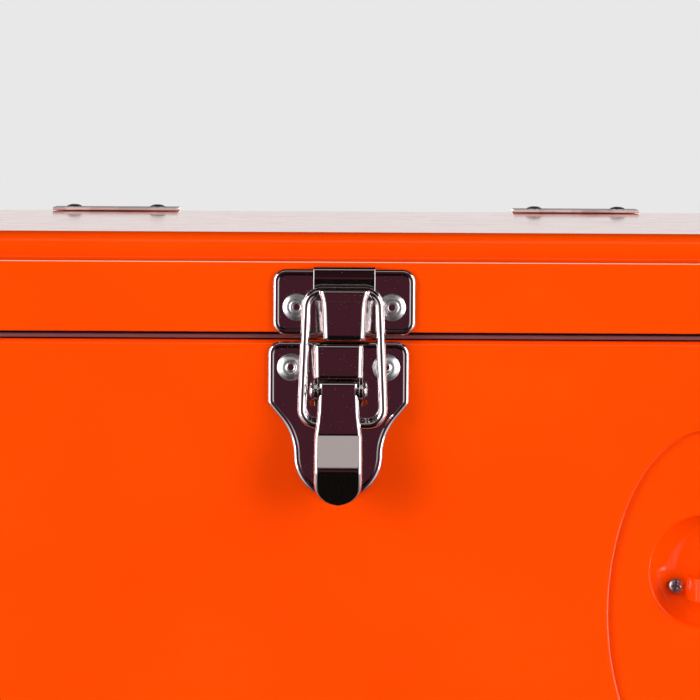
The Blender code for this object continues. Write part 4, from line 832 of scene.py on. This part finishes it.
def makeHinges():
    t, gap = hinge["sheet"], fit
    curl = hinge["pin"] + gap / 2 + t / 2
    back = gap + t / 2 + hinge["pin"] + gap + t / 2
    y0 = rear + back
    half, pitch = hinge["long"] / 2, hinge["long"] / hinge["knuckles"]
    rise = lidHigh.z - seamZ + gap + t / 2
    wrap = arcPoints(0, 0, curl, 180, -100, 22)
    unwrap = arcPoints(0, 0, curl, 180, 460, 22)
    bodyLeaves, lidLeaves = bmesh.new(), bmesh.new()
    for sign in (-1, 1):
        x0 = sign * hinge["apart"] / 2
        for leaf, tail, roll, first, count in ((bodyLeaves, -3 * mm, wrap, 0, 3),
                                               (lidLeaves, 3 * mm, unwrap, 1, 2)):
            outline = [(0, u, v) for u, v in sheetPath([(-curl, tail)] + roll, t)]
            part = growTree("knuckles", repeatTree, outline, faces=[list(range(len(outline)))],
                            Length=pitch - gap,
                            Pitch=2 * pitch, Count=count, Material=hingeZinc)
            start = Vector((x0 - half + first * pitch + gap / 2, y0, seamZ))
            part.data.transform(Matrix.Translation(start))
            leaf.from_mesh(part.data)
            bpy.data.objects.remove(part)
        low = -(hinge["drop"] + 3 * mm) / 2
        corner, foot, head = hinge["corner"], -(hinge["drop"] + 4 * mm) / 2, (hinge["drop"] - 3 * mm) / 2
        flat = arcPoints(corner - half, foot + corner, corner, 180, 270, 6)
        flat += arcPoints(half - corner, foot + corner, corner, 270, 360, 6) + [(half, head), (-half, head)]
        place = lambda u, v, w: (x0 + u, y0 + w, seamZ + low + v)
        joinBodies(bodyLeaves, slab(flat, place, -curl - t / 2, -curl + t / 2))
        path = bentPath([(-back - hinge["lap"], rise), (-curl, rise), (-curl, 2.8 * mm)], 2.2 * mm)
        joinBodies(lidLeaves, slab(sheetPath(path, t), lambda u, v, w: (x0 + w, y0 + u, seamZ + v), -half,
                                   half))
    for name, leaves, rides, nodes in (("bodyHingeLeaves", bodyLeaves, "chest", "body_hinge_leaf_"),
                                       ("lidHingeLeaves", lidLeaves, "lid", "lid_hinge_leaf_")):
        obj = makeObject(name, leaves)
        smoothAndBevel(obj, 0.25 * mm)
        settle(obj, hingeZinc, rides, "chrome", nodes + "left", nodes + "right")
    spread = [s * hinge["apart"] / 2 + r * hinge["rivetsApart"] / 2 for s in (-1, 1) for r in (-1, 1)]
    profile = rivetProfile("small", hinge["rivetRadius"], gap + t)
    names = [s + e for s in ("left_", "right_") for e in ("inner", "outer")]
    for part, place, out, rides in (("body", (rear, seamZ - hinge["rivetIn"]), (0, 1, 0), "chest"),
                                    ("lid", (rear - hinge["rivetIn"], lidHigh.z), (0, 0, 1), "lid")):
        rivets = turnOnSites(part + "HingeRivets", profile, [((x, *place), out) for x in spread], aluminium,
                             28)
        settle(rivets, aluminium, rides, "aluminium", *[part + "_hinge_rivet_" + n for n in names])
    end = half + gap
    head = [(r, end + h) for r, h in inMm((0, 0.8), (1.4, 0.75), (2.0, 0.4), (2.2, 0), (1.5, -0.1))]
    pins = head + [(r, -h) for r, h in head[::-1]]
    obj = turnOnSites("hingePins", pins, [((s * hinge["apart"] / 2, y0, seamZ), (1, 0, 0)) for s in (-1, 1)],
                      zinc, 24)
    settle(obj, zinc, "chest", "zinc_steel", "hinge_pin_left", "hinge_pin_right")


makeHinges()
print("hinges made")

# side handles: bent rod in two lugs, with a moulded grip
handle = {
    "span": 112 * mm, "drop": 46 * mm, "rod": 3.5 * mm, "grip": 8.5 * mm, "gripLong": 84 * mm,
          "below": 74 * mm,
    "reach": 14 * mm, "bend": 9 * mm, "lug": 8 * mm, "rivetsApart": 40 * mm, "sheet": 1.5 * mm,
          "tall": 24 * mm,
    "ribPitch": 7 * mm, "ribDeep": 0.45 * mm, "rivetRadius": 3.4 * mm,
}


def makeSideHandle(side, sign):
    z0, gap = shellHigh.z - handle["below"], fit
    face = gap + handle["sheet"]
    outline = roundedRect(handle["span"] + 2 * mm, handle["tall"], 6 * mm, 10)
    place = lambda u, v, w: (sign * (sideX + w), midY + u, z0 + v)
    bracket = slab(outline, place, gap, face)
    eye = handle["rod"] + gap + 2.2 * mm
    root = face - 0.5 * mm
    lugShape = [(root, -eye), (handle["reach"], -eye)] + arcPoints(handle["reach"], 0, eye, -90, 90, 20)[1:]
    lugShape.append((root, eye))
    for end in (-1, 1):
        y0 = end * (handle["span"] / 2 - handle["bend"] - handle["lug"] / 2)
        lug = lambda u, v, w: (sign * (sideX + u), midY + y0 + w, z0 + v)
        joinBodies(bracket, slab(lugShape, lug, -handle["lug"] / 2, handle["lug"] / 2))
    obj = makeObject(side + "HandleBracket", bracket)
    smoothAndBevel(obj, 0.5 * mm, 4)
    settle(obj, chrome, "chest", "chrome", "handle_bracket_" + side)

    r, out, low = handle["bend"], handle["span"] / 2, z0 - handle["drop"]
    stub = out - r - handle["lug"] - 1.5 * mm
    half = [(stub, z0)] + arcPoints(out - r, z0 - r, r, 90, 0,
                                    10) + arcPoints(out - r, low + r, r, 0, -90, 10)
    path = half + [(-y, z) for y, z in half[::-1]]
    points = [(sign * (sideX + handle["reach"]), midY + y, z) for y, z in path]
    rod = growTree(side + "HandleRod", wiresTree, points, [(i, i + 1) for i in range(len(points) - 1)],
                   Radius=handle["rod"], Sides=28, Material=wireChrome)
    smoothAndBevel(tidyNormals(rod))
    settle(rod, wireChrome, "handle_" + side, "chrome", "handle_rod_" + side)

    end, top, bore = handle["gripLong"] / 2, handle["grip"], handle["rod"] + gap
    profile = [(bore, -end), (top - 1.6 * mm, -end), (top - 0.5 * mm, -end + 0.5 * mm),
               (top, -end + 1.6 * mm)]
    grooves = int((end - 6 * mm) / handle["ribPitch"])
    for i in range(-grooves, grooves + 1):
        for shift, deep in ((-1.5, 0.0), (-0.9, 0.55), (0.0, 1.0), (0.9, 0.55), (1.5, 0.0)):
            profile.append((top - deep * handle["ribDeep"], i * handle["ribPitch"] + shift * mm))
    profile += [(top, end - 1.6 * mm), (top - 0.5 * mm, end - 0.5 * mm), (top - 1.6 * mm, end), (bore, end),
                (bore, -end)]
    site = ((sign * (sideX + handle["reach"]), midY, low), (0, 1, 0))
    grip = turnOnSites(side + "HandleGrip", profile, [site], gripPlastic, 40)
    settle(grip, gripPlastic, "handle_" + side, "black_plastic", "handle_grip_" + side)

    sites = [((sign * sideX, midY + e * handle["rivetsApart"] / 2, z0), (sign, 0, 0)) for e in (-1, 1)]
    rivets = turnOnSites(side + "HandleRivets", rivetProfile("small", handle["rivetRadius"], face), sites,
                         aluminium, 28)
    settle(rivets, aluminium, "chest", "aluminium", "handle_rivet_" + side + "_front",
           "handle_rivet_" + side + "_rear")


for side, sign in (("left", -1), ("right", 1)):
    makeSideHandle(side, sign)
print("side handles made")

# bottle opener: cast claw on two sunk screws, enamelled with the body
opener = {
    "below": 84.5 * mm, "screws": 20.2 * mm, "ear": 4.2 * mm, "pad": 3.6 * mm, "bow": 5.6 * mm,
          "reach": 8 * mm,
    "strap": 2.6 * mm,
}


def makeOpener():
    x0, z0 = body["ovalX"], seamZ - opener["below"]
    seat = -body["dishDepth"] + fit
    place = frontPlace(x0, z0)
    tall = opener["ear"] - 0.2 * mm
    pad = roundedRect(opener["screws"] + 2 * opener["ear"], 2 * opener["ear"], opener["ear"] - 0.01 * mm, 12)
    claw = slab(pad, place, seat, seat + opener["pad"])
    start = seat + opener["pad"] - 1.2 * mm
    bow = [(-opener["bow"] * cos(pi * i / 28), start + (opener["reach"] - start) * sin(pi * i / 28))
           for i in range(29)]
    joinBodies(claw, slab(sheetPath(bow, opener["strap"]), lambda u, v, w: (x0 + u, front - v, z0 + w),
                          -tall, tall))
    back = opener["reach"] - opener["strap"] / 2
    tooth = roundedRect(6 * mm, 2.9 * mm, 0.9 * mm, 4)
    joinBodies(claw, slab(tooth, frontPlace(x0, z0 - tall + 1.7 * mm), back - 3 * mm, back + 0.5 * mm))
    obj = makeObject("openerClaw", claw)
    smoothAndBevel(obj, 0.55 * mm, 4)
    for end in (-1, 1):
        well = arcPoints(end * opener["screws"] / 2, 0, 3.0 * mm, 0, 352, 44)
        cutAway(obj, slab(well, place, seat + opener["pad"] - 2.2 * mm, seat + opener["pad"] + 1 * mm))
    smoothAndBevel(tidyNormals(obj, False))
    settle(obj, enamel, "chest", "orange_paint", "opener_claw")

    rest = seat + opener["pad"] - 1.9 * mm
    head = inMm((0, 1.45), (1.0, 1.4), (1.9, 1.2), (2.45, 0.85), (2.7, 0.4), (2.7, 0), (0, 0))
    profile = [(r, rest + h) for r, h in head]
    sites = [((x0 + e * opener["screws"] / 2, front, z0), (0, -1, 0)) for e in (-1, 1)]
    screws = turnOnSites("openerScrews", profile, sites, zinc, 32)
    for x, _, z in [s[0] for s in sites]:
        for wide, high in ((3.0 * mm, 0.7 * mm), (0.7 * mm, 3.0 * mm)):
            cross = roundedRect(wide, high, 0.1 * mm, 2)
            cutAway(screws, slab(cross, frontPlace(x, z), rest + 0.5 * mm, rest + 2.5 * mm))
    smoothAndBevel(tidyNormals(screws, False))
    settle(screws, zinc, "chest", "zinc_steel", "opener_screw_left", "opener_screw_right")


makeOpener()
print("bottle opener made")

# drain, feet and the moulded tub
drain = {
    "back": 70 * mm, "above": 34.6 * mm + 12 * mm, "bore": 4.5 * mm, "tube": 7 * mm, "flange": 13 * mm,
         "ribs": 20,
    "threads": 4, "pitch": 1.5 * mm, "washer": 3.5 * mm, "nut": 4 * mm, "cap": 2.5 * mm, "capTop": 12.5 * mm,
}
# the last entry is the height from which the tub's flange carries painted seam shade
tub = {
    "wall": 27 * mm, "draft": 5 * mm, "corner": 22 * mm, "fillet": 5 * mm, "sheet": 2 * mm, "floor": 42 * mm,
    "edge": 3.5 * mm, "grimeFrom": 301.5 * mm,
}
feet = {"inset": 38 * mm}
lining = {"sheet": 1.8 * mm, "edge": 1.3 * mm, "plugDeep": 8 * mm, "clear": 3 * mm, "round": 2 * mm}
seal = {"outer": 8 * mm, "inner": 16 * mm, "round": 0.5 * mm}


def tubInset(z):
    return tub["wall"] + tub["draft"] * (flangeHigh - z) / (flangeHigh - tub["floor"] - tub["fillet"])


def planRing(inset, z, radius):
    return [(x, y + midY, z) for x, y in roundedRect(width - 2 * inset, depth - 2 * inset, radius, 14)]


def tubSection(grow, top):
    corner, reach = tub["corner"] + grow, tub["fillet"] + grow
    rows = []
    for i in range(7):
        t = radians(90 * i / 6)
        inset = tub["wall"] + tub["draft"] + tub["fillet"] - reach * sin(t)
        z = tub["floor"] + tub["fillet"] - reach * cos(t)
        rows.append((inset, z, max(corner - tub["fillet"] * (1 - sin(t)), 6 * mm)))
    return rows + [(tub["wall"] - grow + 0.6 * mm * (grow == 0), top - 1.0 * mm, corner),
                   (tub["wall"] - grow, top, corner)]


def makeTub():
    low, high, edge = flangeLow, flangeHigh, tub["edge"]
    outer, soft, roll, brim = planCorner - edge, 0.3 * mm, 0.4 * mm, 0.5 * mm
    rows = tubSection(tub["sheet"], low)
    rows += [(edge + soft, low, outer - soft), (edge, low + soft, outer), (edge, high - roll, outer),
             (edge + roll, high, outer - roll), (tub["wall"] - brim, high, tub["corner"] + brim)]
    inner = tubSection(0, high)[:-1][::-1]
    obj = makeObject("linerTub", skin([planRing(*row) for row in rows + inner]))
    y0, z0 = midY + drain["back"], shellLow.z + drain["above"]
    round40 = arcPoints(0, 0, drain["tube"] * 1.02, 0, 351, 39)
    hole = slab(round40, lambda u, v, w: (-sideX - w, y0 + u, z0 + v), 5 * mm, -50 * mm)
    shell = bpy.data.objects["bodyShell"]
    keep = makeObject("drainTool", hole)
    for target in (obj, shell):
        copy = bmesh.new()
        copy.from_mesh(keep.data)
        cutAway(target, copy)
    bpy.data.objects.remove(keep)
    smoothAndBevel(tidyNormals(obj, False))
    # painted shade: above this height the tub is painted dark mauve, standing in for the shade and orange
    # bounce light in the seam gap
    tintAbove(tubPlastic, tub["grimeFrom"], 0.2 * mm, "7E5558")
    settle(obj, tubPlastic, "chest", "white_plastic", "liner_tub")
    smoothAndBevel(tidyNormals(shell, False))


def makeDrain():
    y0, z0 = midY + drain["back"], shellLow.z + drain["above"]
    site = [((-sideX, y0, z0), (-1, 0, 0))]
    bore, tube, flange = drain["bore"], drain["tube"], drain["flange"]
    inside = -tubInset(z0)
    hole, start = tube + fit, inside - 0.6 * mm
    end = start - 5.8 * mm - 2 * mm
    spout = [(bore, end), (tube - 0.5 * mm, end), (tube, end + 0.5 * mm), (tube, fit), (flange, fit)]
    spout += [(flange - u, h) for u, h in inMm((0, 2.0), (0.3, 2.6), (1, 3))] + [(tube, 3 * mm)]
    for i in range(drain["threads"]):
        spout += [(tube - u, h + i * drain["pitch"]) for u, h in inMm((0, 3.6), (0.45, 4.2), (0, 4.8))]
    spout += [(tube, 9.6 * mm), (tube - 0.4 * mm, 10 * mm), (bore, 10 * mm), (bore, end)]
    settle(turnOnSites("drainSpout", spout, site, tubPlastic, 48), tubPlastic, "chest", "white_plastic",
           "drain_spout")
    out = hole + drain["washer"]
    washer = [(hole, start), (out - 0.3 * mm, start), (out, start - 0.4 * mm), (out, start - 1.4 * mm),
              (out - 0.3 * mm, start - 1.8 * mm), (hole, start - 1.8 * mm), (hole, start)]
    settle(turnOnSites("drainWasher", washer, site, rubber, 48), rubber, "chest", "black_rubber",
           "drain_washer")
    start -= 2.1 * mm
    out = hole + drain["nut"]
    nut = [(hole, start), (out - 0.4 * mm, start), (out, start - 0.5 * mm), (out, start - 3.3 * mm),
           (out - 0.7 * mm, start - 4 * mm), (hole, start - 4 * mm), (hole, start)]
    settle(turnOnSites("drainNut", nut, site, tubPlastic, 48), tubPlastic, "chest", "white_plastic",
           "drain_nut")
    low, top, rim = 3.3 * mm, drain["capTop"], hole + drain["cap"]
    roof = top - 2.2 * mm
    cap = [(0, roof), (hole, roof), (hole, low), (rim - 0.2 * mm, low), (rim, low + 0.4 * mm),
           (rim, top - 1.2 * mm),
           (rim - 0.4 * mm, top - 0.4 * mm), (rim - 1.2 * mm, top), (0, top)]
    wing = roundedRect(2 * tube, 6.4 * mm, 2.2 * mm, 8)
    whole = bmesh.new()
    whole.from_mesh(turnOnSites("drainCapBarrel", cap, site, gripPlastic, 48).data)
    bpy.data.objects.remove(bpy.data.objects["drainCapBarrel"])
    joinBodies(whole, slab(wing, lambda u, v, w: (-sideX - 13.5 * mm - v, y0 + u, z0 + w), -1.5 * mm,
                           1.5 * mm))
    for i in range(drain["ribs"]):
        a = 2 * pi * i / drain["ribs"]
        ridge = [(rim + u, v) for u, v in inMm((-0.4, -0.45), (0.05, -0.25), (0.05, 0.25), (-0.4, 0.45))]
        spin = [(u * cos(a) - v * sin(a), u * sin(a) + v * cos(a)) for u, v in ridge]
        joinBodies(whole, slab(spin, lambda u, v, w: (-sideX - w, y0 + u, z0 + v), low + 0.6 * mm,
                               top - 1.6 * mm))
    obj = makeObject("drainCap", whole)
    smoothAndBevel(obj, 0.3 * mm, 2, 50)
    settle(obj, gripPlastic, "drain_cap", "black_plastic", "drain_cap")


def makeFeet():
    # round pad below, then a stem and a barb that snap through the base
    profile = inMm((0, 0), (10.6, 0), (11.6, 0.15), (12.5, 0.7), (13, 1.6))
    profile += [(r, shellLow.z + h) for r,
                h in inMm((12.1, -0.3), (6.7, -0.3), (6.7, 1.0), (3, 1.0), (3, 2.6), (4.2, 2.8),
                                                     (3, 5.6), (0, 5.8))]
    x0, y0 = sideX - feet["inset"], depth / 2 - feet["inset"]
    sites = [((sx * x0, midY + sy * y0, cadLow.z), (0, 0, 1)) for sx in (-1, 1) for sy in (-1, 1)]
    names = ["foot_" + end + side for end in ("front", "rear") for side in ("_left", "_right")]
    settle(turnOnSites("rubberFeet", profile, sites, rubber, 44), rubber, "chest", "black_rubber", *names)


def makeLidInside():
    t, edge, soft = lining["sheet"], lining["edge"], lining["round"]
    under, plug = lidLow.z + 1.3 * mm, flangeHigh - lining["plugDeep"]
    outside, corner = tub["wall"] + lining["clear"], tub["corner"] - lining["clear"]
    inside, outer, roll = outside + t, planCorner - edge, 0.6 * mm
    rows = []
    for a in map(radians, (0, 22.5, 45, 67.5, 90)):
        rows.append((outside + soft - soft * sin(a), plug + soft - soft * cos(a),
                     corner - soft + soft * sin(a)))
    rows += [(outside, under - roll, corner), (outside - roll, under, corner + roll), (edge, under, outer),
             (edge, under + t, outer), (inside, under + t, corner - t), (inside, plug + soft, corner - t),
             (inside + soft, plug + t, corner - t - soft)]
    obj = makeObject("lidLiner", skin([planRing(*row) for row in rows]))
    smoothAndBevel(obj)
    settle(obj, linerPlastic, "lid", "white_plastic", "lid_liner")
    low, high, start, end, soft = flangeHigh + fit, under - fit, seal["outer"], seal["inner"], seal["round"]
    section = []
    for inset, z, turn in ((start + soft, high - soft, 90), (start + soft, low + soft, 180),
                           (end - soft, low + soft, 270), (end - soft, high - soft, 0)):
        section += arcPoints(inset, z, soft, turn, turn + 90, 4)
    gasket = sweepRound("lidGasket", section, sealRubber)
    smoothAndBevel(gasket)
    settle(gasket, sealRubber, "lid", "black_rubber", "lid_gasket")


makeTub()
makeDrain()
makeFeet()
makeLidInside()
for node, material in (("body_insulation", foamPlastic), ("lid_insulation", foamPlastic), ("base_pan", zinc)):
    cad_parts[node].data.materials.clear()
    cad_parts[node].data.materials.append(material)
print("tub, drain, feet and lid lining made")


# floor, light and camera
studio = {
    "floorColour": "E9E8E6", "sideLight": 19.5, "sideAt": (1.25, front - 0.75, 0.45), "sideSize": (0.5, 1.5),
    "backLight": 9.0, "backAt": (0, rear + 1.2, 0.13), "backSize": (1.6, 0.26),
    "cameraAway": 1.244, "cameraAbove": 39 * mm, "cameraX": 2 * mm, "lens": 191.0, "pitch": 3.6, "roll": 0.3,
}


def makeFloor():
    floor = makeObject("studioFloor", slab(roundedRect(8.0, 8.0, 0.5, 4), lambda u, v,
                                           w: (u, v, cadLow.z - w), 0.0, 0.02))
    mat, tree, shader, place = newMaterial("paintedFloor", studio["floorColour"], Roughness=0.6)
    grain = addNode(tree, "ShaderNodeTexNoise", {"Vector": place, "Scale": 1 / (1.5 * mm), "Detail": 3})
    bump = addNode(tree, "ShaderNodeBump", {"Height": grain.outputs["Fac"], "Distance": 0.05 * mm})
    tree.links.new(bump.outputs[0], shader["Normal"])
    floor.data.materials.append(mat)
    floor.visible_glossy = False


def makeWorld():
    world = bpy.data.worlds.new("studioAir")
    bpy.context.scene.world = world
    world.use_nodes = True
    tree = world.node_tree
    tree.nodes.clear()
    way = addNode(tree, "ShaderNodeTexCoord").outputs["Generated"]
    axes = addNode(tree, "ShaderNodeSeparateXYZ", {0: way}).outputs
    aside = addNode(tree, "ShaderNodeMath", {0: axes["X"]}, operation="ABSOLUTE").outputs[0]
    level = addNode(tree, "ShaderNodeMath", {0: axes["Z"]}, operation="ABSOLUTE").outputs[0]
    # what the metal mirrors: a dark room ahead with one pale strip, pale walls aside, a pale one behind
    ahead = fadeTo(tree, "4E2631", level, 0.12, 0.24, "15110F")
    ahead = fadeTo(tree, ahead, axes["Z"], 0.42, 0.5, "CBC3C0")
    ahead = fadeTo(tree, ahead, axes["Z"], 0.68, 0.76, "1C1918")
    flank = fadeTo(tree, "F6F6F7", axes["Z"], 0.34, 0.62, "1C1918")
    flank = fadeTo(tree, flank, axes["Z"], -0.45, -0.75, "3A2C28")
    behind = fadeTo(tree, "EDECEB", axes["Z"], 0.3, 0.5, "1C1918")
    room = fadeTo(tree, ahead, aside, 0.34, 0.46, flank)
    room = fadeTo(tree, room, axes["Y"], -0.15, 0.15, behind)
    seen = addNode(tree, "ShaderNodeLightPath").outputs["Is Camera Ray"]
    colour = addNode(tree, "ShaderNodeMix", {0: seen, 6: room, 7: hexColour("E8E8E8")},
                     data_type="RGBA").outputs[2]
    shine = addNode(tree, "ShaderNodeBackground", {"Color": colour, "Strength": 1.0})
    addNode(tree, "ShaderNodeOutputWorld", {"Surface": shine.outputs[0]})


def makeLight(name, place, target, size, power):
    lamp = bpy.data.lights.new(name, "AREA")
    lamp.shape, lamp.energy, (lamp.size, lamp.size_y) = "RECTANGLE", power, size
    obj = bpy.data.objects.new(name, lamp)
    obj.location = place
    obj.rotation_euler = (Vector(target) - Vector(place)).to_track_quat("-Z", "Y").to_euler()
    bpy.context.scene.collection.objects.link(obj)
    return obj


def makeCamera():
    camera = bpy.data.cameras.new("view")
    camera.lens, camera.sensor_width = studio["lens"], 36.0
    camera.clip_start = 0.05
    obj = bpy.data.objects.new("view", camera)
    place = Vector((studio["cameraX"], front - studio["cameraAway"], lidHigh.z + studio["cameraAbove"]))
    tilt = Matrix.Rotation(radians(90 - studio["pitch"]), 4,
                           "X") @ Matrix.Rotation(radians(studio["roll"]), 4, "Z")
    obj.matrix_world = Matrix.Translation(place) @ tilt
    bpy.context.scene.collection.objects.link(obj)
    bpy.context.scene.camera = obj


makeFloor()
makeWorld()
for name, side in (("leftSoftbox", -1), ("rightSoftbox", 1)):
    away, ahead, above = studio["sideAt"]
    makeLight(name, (side * away, ahead, above), (0, front, seamZ), studio["sideSize"], studio["sideLight"])
lamp = makeLight("backSoftbox", studio["backAt"], (0, rear, 0.15), studio["backSize"], studio["backLight"])
lamp.visible_camera = False
makeCamera()
bpy.context.scene.view_settings.view_transform = "Standard"
print("studio made")
